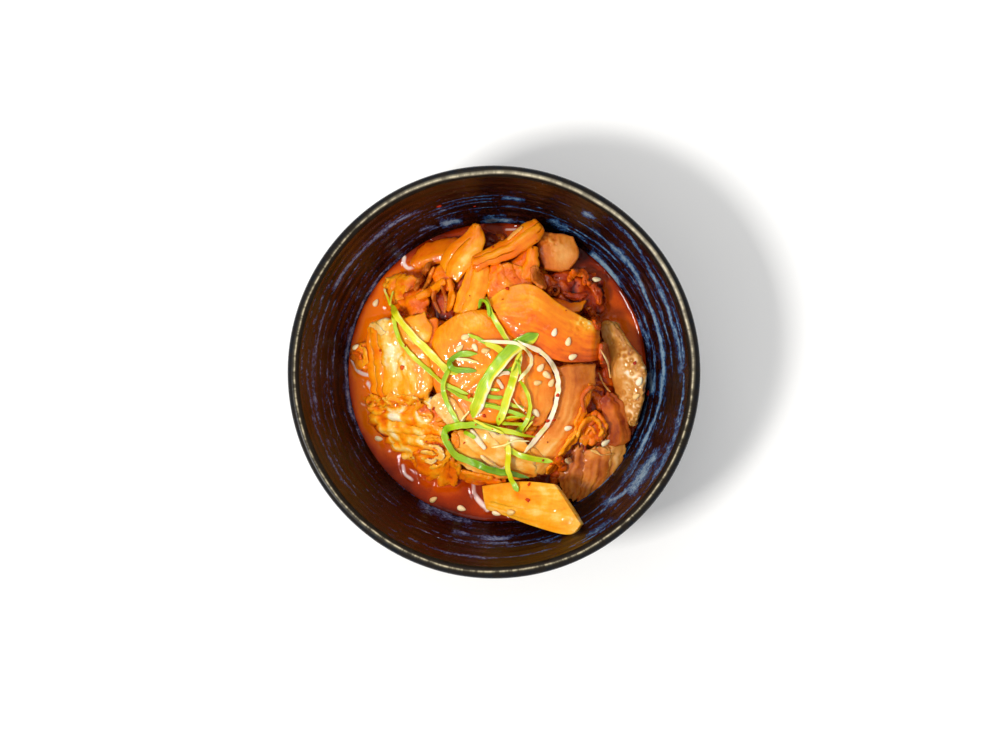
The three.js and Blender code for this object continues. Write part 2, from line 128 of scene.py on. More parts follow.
def noise(p, q, seed):
    """Value noise from -1 to 1: random numbers at whole (p, q), blended by 6t^5 - 15t^4 + 10t^3."""
    table = np.random.default_rng(seed).uniform(-1, 1, (64, 64))
    p, q = np.broadcast_arrays(np.asarray(p, float), np.asarray(q, float))
    pi, qi = np.floor(p).astype(int), np.floor(q).astype(int)
    s, t = p - pi, q - qi
    s = s * s * s * (s * (6 * s - 15) + 10)
    t = t * t * t * (t * (6 * t - 15) + 10)
    near = table[pi % 64, qi % 64] * (1 - s) + table[(pi + 1) % 64, qi % 64] * s
    far = table[pi % 64, (qi + 1) % 64] * (1 - s) + table[(pi + 1) % 64, (qi + 1) % 64] * s
    return near * (1 - t) + far * t


def rough(p, q, seed, octaves=3):
    """Several layers of noise, each twice as fine and half as strong as the one before."""
    layers = [noise(p * 2**k, q * 2**k, seed + k) / 2**k for k in range(octaves)]
    return sum(layers)


def smooth(low, high, x):
    """0 below low, 1 above high, and a soft step in between."""
    t = np.clip((x - low) / (high - low), 0, 1)
    return t * t * (3 - 2 * t)


# %% Arrays into meshes


def grid_faces(ids, wrap=False):
    """Four-sided faces between the rows and columns of a grid of point numbers. wrap joins the last
    column to the first."""
    if wrap:
        ids = np.concatenate([ids, ids[:, :1]], axis=1)
    corners = [ids[:-1, :-1], ids[:-1, 1:], ids[1:, 1:], ids[1:, :-1]]
    return np.stack(corners, axis=-1).reshape(-1, 4)


def add_mesh(name, points, faces, values=None, uv=None):
    """A mesh object at the origin from points in mm, faces as arrays of 3 or 4 corners, one number per
    point for each named attribute, and one (u, v) per point. The sum of face centre times face normal is
    three times the volume that the faces enclose, so where it is negative they are turned to face out."""
    faces = faces if isinstance(faces, list) else [faces]
    points = np.asarray(points, float)
    spans = [np.cross(points[f[:, 1]] - points[f[:, 0]], points[f[:, -1]] - points[f[:, 0]]) for f in faces]
    volume = sum(np.einsum("ij,ij->", points[f].mean(axis=1), span) for f, span in zip(faces, spans))
    if volume < 0:
        faces = [f[:, ::-1] for f in faces]
    corners = np.concatenate([f.ravel() for f in faces]).astype(np.int32)
    sizes = np.concatenate([np.full(len(f), f.shape[1]) for f in faces])
    starts = np.concatenate([[0], np.cumsum(sizes)[:-1]]).astype(np.int32)
    mesh = bpy.data.meshes.new(name)
    mesh.vertices.add(len(points))
    mesh.vertices.foreach_set("co", (points * MM).astype(np.float32).ravel())
    mesh.loops.add(len(corners))
    mesh.loops.foreach_set("vertex_index", corners)
    mesh.polygons.add(len(starts))
    mesh.polygons.foreach_set("loop_start", starts)
    mesh.update(calc_edges=True)
    mesh.polygons.foreach_set("use_smooth", np.ones(len(starts), bool))
    for key, numbers in (values or {}).items():
        layer = mesh.attributes.new(key, "FLOAT", "POINT")
        layer.data.foreach_set("value", np.asarray(numbers, np.float32).ravel())
    if uv is not None:
        layer = mesh.uv_layers.new(name="UVMap")
        layer.data.foreach_set("uv", np.asarray(uv, np.float32)[corners].ravel())
    mesh.validate()
    piece = bpy.data.objects.new(name, mesh)
    bpy.context.collection.objects.link(piece)
    return piece


def joined(parts):
    """Several (points, faces, values, uv) sets as one, with the face numbers moved up."""
    starts = np.cumsum([0] + [len(part[0]) for part in parts])
    points = np.concatenate([part[0] for part in parts])
    faces = np.concatenate([part[1] + start for part, start in zip(parts, starts)])
    values = {key: np.concatenate([part[2][key] for part in parts]) for key in parts[0][2]}
    return points, faces, values, np.concatenate([part[3] for part in parts])


def finish_piece(piece, material, slot, *nodes):
    """Gives a piece its material, lets it ride on the object, and replaces the solids that it stands for."""
    piece.data.materials.append(material)
    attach(piece, "root")
    if nodes:
        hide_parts(*nodes)
    return piece


# %% [markdown]
# ## Writing materials
# A material is a small graph of nodes. These helpers keep each one short: `node` adds a node and sets its
# values, and `ramp` turns a number from 0 to 1 into a colour along a list of stops. Colours are written as
# the usual web values and turned into the linear light values that the renderer works with.

# %% Material helpers


def linear(code, alpha=1.0):
    """The linear colour of a web colour such as 'F5A623': each part is ((c + 0.055) / 1.055) ^ 2.4."""
    parts = [int(code[k : k + 2], 16) / 255 for k in (0, 2, 4)]
    return [c / 12.92 if c <= 0.04045 else ((c + 0.055) / 1.055) ** 2.4 for c in parts] + [alpha]


class Graph:
    """A new material with its nodes and links at hand."""

    def __init__(self, name):
        self.material = bpy.data.materials.new(name)
        self.material.use_nodes = True
        self.nodes = self.material.node_tree.nodes
        self.links = self.material.node_tree.links
        self.shader = self.nodes["Principled BSDF"]

    def put(self, socket, value):
        """Links a socket to another node's output, or sets its plain value."""
        if isinstance(value, bpy.types.NodeSocket):
            self.links.new(value, socket)
        else:
            socket.default_value = value

    def node(self, kind, values=None, **settings):
        made = self.nodes.new(kind)
        for key, value in settings.items():
            setattr(made, key, value)
        for key, value in (values or {}).items():
            self.put(made.inputs[key], value)
        return made

    def math(self, operation, *numbers):
        return self.node("ShaderNodeMath", dict(enumerate(numbers)), operation=operation).outputs[0]

    def ramp(self, factor, stops):
        made = self.node("ShaderNodeValToRGB", {"Fac": factor})
        elements = made.color_ramp.elements
        while len(elements) < len(stops):
            elements.new(0.5)
        for element, (place, colour) in zip(elements, stops):
            element.position = place
            element.color = linear(colour) if isinstance(colour, str) else (colour, colour, colour, 1)
        return made.outputs["Color"]

    def noise(self, vector, scale, detail=3.0, roughness=0.5):
        values = {"Vector": vector, "Scale": scale, "Detail": detail, "Roughness": roughness}
        return self.node("ShaderNodeTexNoise", values).outputs["Fac"]

    def mix(self, factor, a, b):
        return self.node("ShaderNodeMix", {0: factor, 6: a, 7: b}, data_type="RGBA").outputs[2]

    def bump(self, height, distance, under=None):
        values = {"Height": height, "Distance": distance, "Strength": 1.0}
        if under is not None:
            values["Normal"] = under
        return self.node("ShaderNodeBump", values).outputs["Normal"]

    def attribute(self, name):
        return self.node("ShaderNodeAttribute", attribute_name=name).outputs["Fac"]

    def place(self):
        return self.node("ShaderNodeTexCoord").outputs["Object"]

    def uv(self, stretch_u, stretch_v):
        vector = self.node("ShaderNodeTexCoord").outputs["UV"]
        values = {"Vector": vector, "Scale": (stretch_u, stretch_v, 1)}
        return self.node("ShaderNodeMapping", values).outputs[0]

    def finish(self, **values):
        """Sets the shader's own sockets by name, with _ for a space, and returns the material."""
        for key, value in values.items():
            self.put(self.shader.inputs[key.replace("_", " ")], value)
        return self.material


# %% [markdown]
# ## Floor and light
# The bowl stands on a plain white floor. One soft light comes from the left and a little from the near
# side, which leaves the gaps on the right of each piece of cabbage in shadow and lights the right side of
# the wall. It stands sixty degrees high, so the wall on its own side doesn't shade the broth from it. A
# wider one fills in from the far side, and a pale sky keeps the shadows open. Nothing hangs straight above,
# because the flat broth would mirror it. The colours are shown as they are, without a film-like curve,
# because such a curve turns orange and yellow pale.

# %% Floor and light
scene = bpy.context.scene
scene.view_settings.view_transform = "Standard"
KEY_POWER = 5.0
FILL_POWER = 1.6
SKY = 0.64


def add_floor():
    half = 1500.0
    points = np.array([[-half, -half, 0], [half, -half, 0], [half, half, 0], [-half, half, 0]])
    floor = add_mesh("floor", points, np.array([[0, 1, 2, 3]]))
    graph = Graph("floor_white")
    tint = graph.ramp(graph.noise(graph.place(), 8.0), [(0.0, "FAFAF9"), (1.0, "FEFEFD")])
    floor.data.materials.append(graph.finish(Base_Color=tint, Roughness=0.9))


def add_light(name, place, aim, size, power, colour):
    """A square area light at a place in mm that looks at another place."""
    data = bpy.data.lights.new(name, "AREA")
    data.size = size * MM
    data.energy = power
    data.color = colour
    light = bpy.data.objects.new(name, data)
    light.location = Vector(place) * MM
    direction = Vector(aim) - Vector(place)
    light.rotation_euler = direction.to_track_quat("-Z", "Y").to_euler()
    bpy.context.collection.objects.link(light)


add_floor()
add_light("key", (-400, -175, 780), (0, 0, 30), 140, KEY_POWER, (1.0, 0.98, 0.95))
add_light("fill", (-120, 640, 880), (0, 0, 30), 560, FILL_POWER, (1.0, 1.0, 1.0))
world = bpy.data.worlds.new("sky") if scene.world is None else scene.world
scene.world = world
world.use_nodes = True
world.node_tree.nodes["Background"].inputs["Color"].default_value = (1.0, 1.0, 1.0, 1)
world.node_tree.nodes["Background"].inputs["Strength"].default_value = SKY

# %% [markdown]
# ## The bowl
# A thrown bowl is a profile turned on a wheel, so its surface is a function of two numbers: how far along
# the profile, and the angle round it. The potter's fingers leave shallow rings inside, which drift up and
# down a little as the wheel turns. The rings are real relief here, a fraction of a millimetre deep.

# %% Bowl profile
INNER_WALL = [
    (0, 7.5), (20, 8.2), (33, 10.5), (42, 14.8), (47, 18.6), (50, 22), (54, 31), (58, 42.5), (62, 56),
]  # fmt: skip
OUTER_WALL = [(29, 6.2), (39, 8.6), (47, 13), (53, 19.5), (58, 28), (62.2, 38), (64.9, 48), (66, 56)]
FOOT = [(0.02, 3), (14, 3), (22.5, 3), (23.3, 2.6), (23.9, 0.5), (24.3, 0), (27.2, 0), (27.9, 0.5), (28, 2.5)]
FOOT_TO_WALL = [(28, 2.5), (27.7, 4.6), (28.2, 5.7), (29, 6.2)]
LIP_RADIUS = 2.0
BOWL_COLUMNS = 440


def wall_radius(height):
    """Radius of the inside wall at a height, from the smooth inner profile."""
    profile = through(INNER_WALL, np.linspace(0, 1, 400))
    return np.interp(height, profile[:, 1], profile[:, 0])


def bowl_profile():
    """Points (radius, height) from under the foot, up the outside, over the lip and down the inside, and
    for each point the number of its stretch: 0 foot, 1 its corner, 2 outside, 3 lip, 4 inside."""
    angle = np.linspace(0, math.pi, 22)[1:-1]
    lip_r = RIM_RADIUS - LIP_RADIUS + LIP_RADIUS * np.cos(angle)
    lip_z = RIM_HEIGHT - LIP_RADIUS + LIP_RADIUS * np.sin(angle)
    parts = [
        np.array(FOOT),
        through(FOOT_TO_WALL, np.linspace(0, 1, 7))[1:-1],
        through(OUTER_WALL, np.linspace(0, 1, 52)),
        np.stack([lip_r, lip_z], axis=1),
        through(INNER_WALL, np.linspace(1, 0.004, 128)),
    ]
    stretch = [np.full(len(part), k) for k, part in enumerate(parts)]
    return np.concatenate(parts), np.concatenate(stretch)


# %% [markdown]
# ## Brush strokes
# A loaded brush, held against the turning bowl, left arcs of blue in the wet glaze. Each stroke below is
# its first and last angle in degrees, the heights that it passes on the way, its width and how much colour
# the brush held. The load at a point is a bell curve across the stroke that fades at both ends. Where the
# load is high the glaze goes pale and milky, and where it is low it only tints the brown to navy.

# %% Brush strokes
STROKES = [
    (309, 428, [34.7, 32.5, 32, 34.2, 35, 35, 37.6, 38.4, 39.6], 1.7, 1.0),
    (349, 420, [44, 50.5, 48, 49, 54, 52.9], 2.1, 0.78),
    (315, 337, [46, 43.5, 45.5], 3.2, 0.9),
    (365, 383, [26, 25, 21.8], 1.5, 0.62),
    (350, 363, [26.4, 25.1], 1.7, 0.9),
    (82, 97, [23.9, 24.1], 1.9, 0.9),
    (62, 73, [29.2, 29.6], 2.2, 0.6),
    (56, 62, [47, 46], 1.6, 0.95),
    (32, 55, [21, 23.2, 24.2, 24.2], 3.2, 1.0),
    (102, 112, [25.6, 29.1], 1.7, 0.92),
    (111, 120, [28.3, 30], 1.3, 0.62),
    (108, 160, [41.3, 43.5, 44.8, 45.6, 44.6], 1.3, 0.86),
    (157, 202, [45.3, 45.8, 46.1, 46.4, 47.2], 1.2, 0.5),
    (235, 264, [24.6, 23.8, 23.4], 2.4, 0.62),
    (253, 262, [32, 32.6], 1.2, 0.66),
    (263, 277, [33.5, 33.4], 1.4, 0.78),
    (285, 292, [41.4, 46], 1.2, 0.5),
    (79, 89, [39.8, 40], 1.3, 0.72),
    (307, 330, [36.3, 42.1, 45.8], 3.0, 0.9),
    (298, 311, [51.1, 51.2], 1.4, 0.66),
    (322, 354, [53, 54.5, 53], 3.0, 0.6),
    (118, 215, [23.6, 24, 24, 23.4], 0.9, 0.8),
]
STROKE_SPREAD = 1.3
LIGHT_STROKES = 130
RING_STEP = 4.3


def brush_load(angle, height):
    """How much blue lies at each (angle in degrees, height): the strongest of all strokes there. Besides the
    listed strokes, fainter ones are drawn by lot near the crests of the potter's rings."""
    rng = np.random.default_rng(5)
    start = rng.uniform(0, 360, LIGHT_STROKES)
    level = 24 + RING_STEP * rng.integers(0, 8, LIGHT_STROKES) + rng.normal(0, 0.7, LIGHT_STROKES)
    drift = rng.uniform(-1.5, 1.5, LIGHT_STROKES)
    span = rng.uniform(10, 60, LIGHT_STROKES)
    width = rng.uniform(0.25, 0.6, LIGHT_STROKES)
    right = 0.5 + 0.5 * np.cos(np.radians(start + span / 2))
    strength = rng.uniform(0.3, 0.72, LIGHT_STROKES) + 0.1 * right**2
    rows = zip(start, start + span, level, drift, width, strength)
    light = [(a, b, [z, z + dz], w, s) for a, b, z, dz, w, s in rows]
    load = np.zeros_like(angle)
    for first, last, heights, wide, strong in STROKES + light:
        way = ((angle - first) % 360) / (last - first)
        middle = through(heights, np.clip(way, 0, 1))
        wobble = 0.5 * noise(angle / 7, first, 90) + 0.25 * noise(angle / 2.2, first, 91)
        spread = STROKE_SPREAD * wide * (0.75 + 0.4 * noise(angle / 5, first, 92))
        offset = ((height - middle - wobble) / spread) ** 2
        across = 0.8 * np.exp(-offset) + 0.2 * np.exp(-offset / 5)
        ends = smooth(0, 0.25, way) * smooth(0, 0.25, 1 - way)
        load = np.maximum(load, strong * across * ends)
    return load


# %% Turn the bowl


def add_bowl():
    """Every profile point is turned round the axis. Inside, the radius gains a ring pattern: a sine of the
    height whose phase drifts with the angle, and the lip's height wavers by a tenth of a millimetre."""
    profile, stretch = bowl_profile()
    turn = np.linspace(0, 2 * math.pi, BOWL_COLUMNS, endpoint=False)[None, :]
    radius, angle = np.broadcast_arrays(profile[:, :1], turn)
    height = np.broadcast_to(profile[:, 1:], radius.shape)
    inside = (stretch == 4)[:, None]
    outside = (stretch == 2)[:, None]
    drift = 1.1 * np.sin(angle + 0.6) + 0.5 * np.sin(3 * angle + 2) + 0.3 * np.sin(5 * angle)
    rings = np.sin((height + drift) * 2 * math.pi / RING_STEP)
    fine = np.sin((height + 0.6 * drift + 0.5 * np.sin(2 * angle)) * 2 * math.pi / 1.7)
    fade = smooth(10, 20, height) * smooth(0, 3, RIM_HEIGHT - 1.5 - height)
    turning = np.sin((height + 0.6 * drift) * 2 * math.pi / 5.0)
    edge = smooth(7, 12, height) * smooth(0, 4, RIM_HEIGHT - 3 - height)
    radius = radius - inside * fade * (0.09 * rings + 0.03 * fine) - outside * edge * 0.12 * (1 + turning)
    waver = 0.5 + 0.5 * np.sin(2 * angle + 1) * np.cos(3 * angle)
    raised = height - np.where(height > RIM_HEIGHT - LIP_RADIUS, 0.12 * waver, 0)
    points = np.stack([radius * np.cos(angle), radius * np.sin(angle), raised], axis=-1)
    ids = np.arange(points.shape[0] * BOWL_COLUMNS).reshape(-1, BOWL_COLUMNS)
    faces = grid_faces(ids, wrap=True)
    around = np.roll(ids, -1, axis=1)
    under = np.stack([np.full(BOWL_COLUMNS, ids.size), around[0], ids[0]], axis=1)
    floor = np.stack([np.full(BOWL_COLUMNS, ids.size + 1), ids[-1], around[-1]], axis=1)
    load = np.where(inside, brush_load(np.degrees(angle), height), 0)
    load = np.where(outside, 0.8 * brush_load(np.degrees(angle) + 40, 62 - height), load)
    points = np.concatenate([points.reshape(-1, 3), [[0, 0, 3.0], [0, 0, 7.5]]])
    return add_mesh("glazed_bowl", points, [faces, under, floor], {"brush": np.append(load, [0, 0])})


bowl = add_bowl()
print("bowl faces:", len(bowl.data.polygons))

# %% [markdown]
# ## The glaze
# The glaze is a glossy dark brown that breaks to cream along the lip where it runs thin. The blue of the
# strokes is dragged out in fine streaks by the turning wheel. Such a streak is noise that changes slowly
# round the bowl and fast up its wall, so it is read at the direction from the axis, times a small number,
# and at the height, times a large one.

# %% Glaze


def glaze():
    graph = Graph("brushed_glaze")
    place = graph.place()
    split = graph.node("ShaderNodeSeparateXYZ", {"Vector": place}).outputs
    flat = graph.node("ShaderNodeCombineXYZ", {"X": split["X"], "Y": split["Y"]}).outputs[0]
    length = graph.node("ShaderNodeVectorMath", {0: flat}, operation="LENGTH").outputs["Value"]
    unit = graph.node("ShaderNodeVectorMath", {0: flat}, operation="NORMALIZE").outputs[0]
    way = graph.node("ShaderNodeSeparateXYZ", {"Vector": unit}).outputs
    radius = graph.math("MULTIPLY", length, 1000.0)
    height = graph.math("MULTIPLY", split["Z"], 1000.0)

    def swept(round_scale, up_scale, drift):
        """Coordinates that change slowly round the bowl and fast up its wall."""
        turn_x = graph.math("MULTIPLY", way["X"], round_scale)
        turn_y = graph.math("MULTIPLY", way["Y"], round_scale)
        level = graph.math("MULTIPLY_ADD", way["Y"], drift, height)
        up = graph.math("MULTIPLY", level, up_scale)
        return graph.node("ShaderNodeCombineXYZ", {"X": turn_x, "Y": turn_y, "Z": up}).outputs[0]

    hair = graph.noise(swept(14.0, 2.6, 1.5), 1.0, 5.0, 0.7)
    streak = graph.noise(swept(5.0, 0.8, 1.5), 1.0, 4.0, 0.6)
    grit = graph.noise(place, 1400.0, 3.0, 0.6)
    drag = graph.math("MULTIPLY_ADD", hair, 0.25, graph.math("MULTIPLY", streak, 0.4))
    drag = graph.math("MULTIPLY_ADD", grit, 0.65, drag)
    patch = graph.noise(place, 380.0, 3.0, 0.6)
    mottle = graph.noise(place, 1100.0, 4.0, 0.75)
    load = graph.math("MULTIPLY_ADD", graph.math("SUBTRACT", drag, 0.65), 0.4, graph.attribute("brush"))
    load = graph.math("MULTIPLY_ADD", graph.math("SUBTRACT", patch, 0.5), 1.0, load)
    load = graph.math("MULTIPLY_ADD", graph.math("SUBTRACT", mottle, 0.5), 1.5, load)
    body = graph.ramp(drag, [(0.5, "030101"), (0.6, "0E0503"), (0.7, "280D06"), (0.82, "42200F")])
    right_blue = [(0.16, "0C0C18"), (0.3, "0E1A3A"), (0.5, "24426C"), (0.7, "4B6F92"), (0.98, "86A2B4")]
    left_blue = [(0.16, "0E0A10"), (0.3, "16142C"), (0.5, "383E62"), (0.7, "5E6A90"), (0.98, "8E9AB0")]
    right = graph.ramp(load, right_blue)
    left = graph.ramp(load, left_blue)
    turned = graph.math("MULTIPLY_ADD", way["X"], 0.8, graph.math("MULTIPLY", way["Y"], 0.25))
    side = graph.ramp(graph.math("ADD", turned, 0.5), [(0.3, 0.0), (0.62, 1.0)])
    blue = graph.mix(side, left, right)
    wall = graph.mix(graph.ramp(load, [(0.16, 0.0), (0.36, 1.0)]), body, blue)

    wander = graph.math("MULTIPLY_ADD", graph.noise(swept(3.0, 0.05, 0), 1.0, 3.0, 0.5), 1.2, 1.1)
    crest = graph.math("DIVIDE", graph.math("SUBTRACT", graph.math("ADD", radius, wander), 62.0), 7.0)
    stops = [(0.1, "140804"), (0.36, "180C07"), (0.42, "32281C"), (0.45, "9C8E70"), (0.47, "D8CBAE")]
    stops += [(0.5, "8A8064"), (0.54, "34302A"), (0.6, "1C1C1C"), (0.68, "0E1218"), (0.8, "081222")]
    lip = graph.ramp(crest, stops)
    thin = graph.noise(swept(22.0, 0.4, 0), 1.0, 4.0, 0.7)
    lip = graph.mix(graph.ramp(thin, [(0.42, 0.85), (0.6, 0.0)]), lip, linear("1E1812"))
    # Painted highlight: towards the far side the lip is mixed further towards pale cream.
    far = graph.math("MULTIPLY_ADD", way["X"], 0.45, graph.math("MULTIPLY", way["Y"], 0.85))
    painted_highlight_band = graph.ramp(crest, [(0.38, 0.0), (0.45, 0.9), (0.52, 0.7), (0.6, 0.0)])
    pale = graph.math("MULTIPLY", graph.ramp(far, [(0.3, 0.0), (0.9, 1.0)]), painted_highlight_band)
    lip = graph.mix(graph.math("MULTIPLY", pale, thin), lip, linear("E0D4B6"))
    on_lip = graph.ramp(graph.math("DIVIDE", height, 60.0), [(0.925, 0.0), (0.94, 1.0)])
    glazed = graph.mix(on_lip, wall, lip)
    clay = graph.ramp(graph.noise(place, 900.0, 4.0), [(0.3, "7C5A3E"), (0.7, "A07B58")])
    bare = graph.ramp(graph.math("DIVIDE", height, 60.0), [(0.036, 1.0), (0.05, 0.0)])
    colour = graph.mix(bare, glazed, clay)
    matt = graph.ramp(bare, [(0.0, 0.26), (1.0, 0.75)])
    brushed = graph.bump(hair, 0.00006, graph.bump(grit, 0.00003))
    return graph.finish(Base_Color=colour, Roughness=matt, Normal=brushed, Specular_IOR_Level=0.11)


finish_piece(bowl, glaze(), "glaze", "bowl")

# %% [markdown]
# ## Cabbage, leaf and stem
# Kimchi is cut cabbage: thick pale ribs of the stem, and thin crinkled leaf. Both are made by one recipe.
# Two edge curves are given by a few points each, and the surface runs from one to the other. It is raised
# in the middle, ribbed along its length, crinkled by noise and frilled at its edges. Its thickness falls to
# nothing at the edge as a quarter circle does, so the two faces meet in a rounded rim. A second number,
# `tone`, says for every point how deep or pale the flesh is. Part of it is painted shade and light: darker
# in creases, dips and the grooves of folds, and paler on their ridges and at the rim. A third, `glint`, says
# how frothy it looks and how much painted glint it carries, and a fourth, `tan`, how far its orange has gone
# to a dull brown or a greyish pink.

# %% Cabbage sheet
SHEET_STEP = 0.36


def unit_normal(surface):
    """Unit normals of a grid of points: the cross product of its steps down the rows and columns."""
    normal = np.cross(np.gradient(surface, axis=0), np.gradient(surface, axis=1))
    normal /= np.maximum(np.linalg.norm(normal, axis=-1, keepdims=True), 1e-9)
    return normal * (-1 if normal[..., 2].mean() < 0 else 1)


def rounded(distance, rim):
    """A quarter circle: 0 at the edge, 1 once the distance from it reaches the rim's radius."""
    return np.sqrt(np.clip(1 - (1 - np.clip(distance / rim, 0, 1)) ** 2, 0, 1))


def sheet(look, step):
    """One piece of cabbage. In words: middle(u, v) = left(u) + v * (right(u) - left(u)), plus
    crown * (1 - s^2) upwards, with s from -1 at the left edge to 1 at the right; plus ribs, crinkle,
    crease, folds and frill along the surface's normal. The two faces lie half the thickness away on each
    side. The square of (u, v) is first rounded towards a disc: s * sqrt(1 - round * e^2 / 2), and the same
    for e, which runs from -1 at the first end to 1 at the last."""
    get = look.get
    seed = get("seed", 1)
    line = through(look["left"], np.linspace(0, 1, 30))
    long = np.linalg.norm(np.diff(line, axis=0), axis=1).sum()
    broad = np.linalg.norm(through(look["right"], np.linspace(0, 1, 30)) - line, axis=1).max()
    rows, columns = int(np.clip(long / step, 14, 150)), int(np.clip(broad / step, 12, 130))
    even, eased = np.linspace(0, 1, rows), 0.5 - 0.5 * np.cos(np.linspace(0, math.pi, rows))
    u = (0.6 * eased + 0.4 * even)[:, None]
    even, eased = np.linspace(0, 1, columns), 0.5 - 0.5 * np.cos(np.linspace(0, math.pi, columns))
    v = (0.6 * eased + 0.4 * even)[None, :]
    u, v = np.broadcast_arrays(u, v)
    edge_u, edge_v = np.minimum(u, 1 - u), np.minimum(v, 1 - v)
    soft, side, end = get("round", 0.4), 2 * v - 1, 2 * u - 1
    side, end = side * np.sqrt(1 - soft * end**2 / 2), end * np.sqrt(1 - soft * side**2 / 2)
    u, v = 0.5 + 0.5 * end, 0.5 + 0.5 * side
    left, right = through(look["left"], u), through(look["right"], u)
    across = right - left
    wide = np.linalg.norm(across, axis=-1)
    p, q = u * long, v * wide
    ragged = get("ragged", 0.0)
    jag_left = ragged * rough(p / 2.4, 0 * p + 3, seed + 11)
    jag_right = ragged * rough(p / 2.4, 0 * p + 9, seed + 12)
    slide = (jag_left * (1 - v) + jag_right * v) / wide
    middle = left + across * (v + slide)[..., None]
    along = np.gradient(middle, axis=0)
    along /= np.maximum(np.linalg.norm(along, axis=-1, keepdims=True), 1e-9)
    fray = get("fray", ragged) * rough(q / 2.0, 0 * q + 5, seed + 13) * np.abs(end) ** 6
    middle = middle + along * fray[..., None]
    middle[..., 2] += get("crown", 0.0) * (1 - side**2) + get("arch", 0.0) * (1 - end**2)
    middle[..., 2] -= get("droop", 0.0) * np.abs(side) ** 4
    cut_wide, cut_drop = get("cut", (0.0, 0.0))
    cut = smooth(0, 1, (p - long + cut_wide) / cut_wide) if cut_wide else 0 * p
    middle[..., 2] -= cut_drop * cut
    bend = noise(u * 2.2, v * 2, seed + 20)
    uneven = 0.7 + 0.6 * noise(u * 2.5 + 4, v * 5, seed + 25)
    ridge = np.cos(2 * math.pi * get("ribs", 0) * (v + 0.12 * bend))
    ridge = ridge * (1 - 0.4 * np.abs(side)) * (1 - cut) * uneven
    size = 1.5 * get("size", 4.5)
    crinkle = rough(p / size + bend, q / size, seed + 30, 3)
    crease = 1 - 2 * np.abs(rough(p / (1.3 * size) + 7, q / size + 0.6 * bend, seed + 40, 2))
    fringe = np.maximum(np.abs(side), np.abs(end) ** 3) ** 3
    wave = np.sin(2 * math.pi * get("waves", 4) * u + 2.5 * side + 3 * crinkle)
    fibre = noise(p / 9.0, v * 1.1 * broad, seed + 50)
    lift = 0.5 * get("rib_depth", 0.0) * ridge + get("crinkle", 0.0) * crinkle
    lift = lift + 0.6 * get("crease", 0.0) * crease
    lift = lift + get("frill", 0.0) * fringe * wave + get("fibre_depth", 0.05) * fibre
    # Painted shade and light: each fold also shifts the tone, darker along a groove and paler along a ridge.
    painted_fold_shade = 0 * p
    for from_u, from_v, to_u, to_v, fold_wide, fold_high, fold_shade in get("folds", []):
        start, run = (from_u * long, from_v * broad), ((to_u - from_u) * long, (to_v - from_v) * broad)
        off_p, off_q = p + 0.7 * bend - start[0], v * broad + 0.7 * crinkle - start[1]
        way = np.clip((off_p * run[0] + off_q * run[1]) / (run[0] ** 2 + run[1] ** 2), 0, 1)
        gap = np.hypot(off_p - way * run[0], off_q - way * run[1])
        bell = np.exp(-((gap / fold_wide) ** 2))
        lift, painted_fold_shade = lift + fold_high * bell, painted_fold_shade + fold_shade * bell
    middle = middle + unit_normal(middle) * lift[..., None]
    normal = unit_normal(middle)
    rim = get("rim", 0.5 * look["thick"])
    curve = rounded(edge_v * wide, rim) * rounded(edge_u * long, rim)
    thick = look["thick"] * (1 + 0.12 * noise(u * 3, v * 3, seed + 60))
    half = (0.5 * thick * curve)[..., None]
    top, bottom = middle + normal * half, middle - normal * half
    tone = get("tone", 0.6) + get("tone_along", 0.0) * end + get("tone_across", 0.0) * side
    tone = tone + get("tone_edge", 0.0) * np.abs(side) ** 4 + get("tone_end", 0.0) * np.abs(end) ** 4
    tone = tone + get("tone_rib", 0.0) * ridge + get("tone_noise", 0.05) * rough(p / 6, q / 6, seed + 70)
    # Painted shade: the crease and crinkle terms darken the valleys and dips and lighten the ridges.
    tone = tone + get("tone_crease", 0.0) * (crease - 0.4) + get("tone_fibre", 0.03) * fibre
    tone = tone + get("tone_depth", 0.0) * crinkle + get("tone_cut", 0.0) * cut + painted_fold_shade
    # Painted light: the tone rises towards the rim, to lift the contact shade along thin edges.
    tone = tone + 0.09 * (1 - curve)
    for spot_u, spot_v, wide_u, wide_v, amount in get("spots", []):
        tone = tone + amount * np.exp(-(((u - spot_u) / wide_u) ** 2) - ((v - spot_v) / wide_v) ** 2)
    glint = 0 * tone
    for spot_u, spot_v, wide_u, wide_v, amount in get("froth", []):
        glint = glint + amount * np.exp(-(((u - spot_u) / wide_u) ** 2) - ((v - spot_v) / wide_v) ** 2)
    tan_level, tan_along, tan_across = get("tan", (0.0, 0.0, 0.0))
    tan = np.clip(tan_level + tan_along * end + tan_across * side, 0, 1)
    numbers = {"tone": tone, "glint": np.clip(glint, 0, 1), "tan": tan}
    return top, bottom, numbers, np.stack([p / 10, q / 10], axis=-1)


def closed_sheet(look, step):
    """(points, faces, values, uv) of a sheet. Both faces share the points of its rim, so it is closed."""
    top, bottom, numbers, uv = sheet(look, step)
    rows, columns = top.shape[:2]
    upper = np.arange(rows * columns).reshape(rows, columns)
    lower = upper.copy()
    lower[1:-1, 1:-1] = upper.size + np.arange((rows - 2) * (columns - 2)).reshape(rows - 2, columns - 2)

    def both(a, b):
        """All points of a, then the inner points of b."""
        return np.concatenate([a.reshape(rows * columns, -1), b[1:-1, 1:-1].reshape(-1, a.shape[-1])])

    points = both(top, bottom)
    faces = np.concatenate([grid_faces(upper)[:, ::-1], grid_faces(lower)])
    values = {key: both(number[..., None], number[..., None]).ravel() for key, number in numbers.items()}
    return points, faces, values, both(uv, uv)
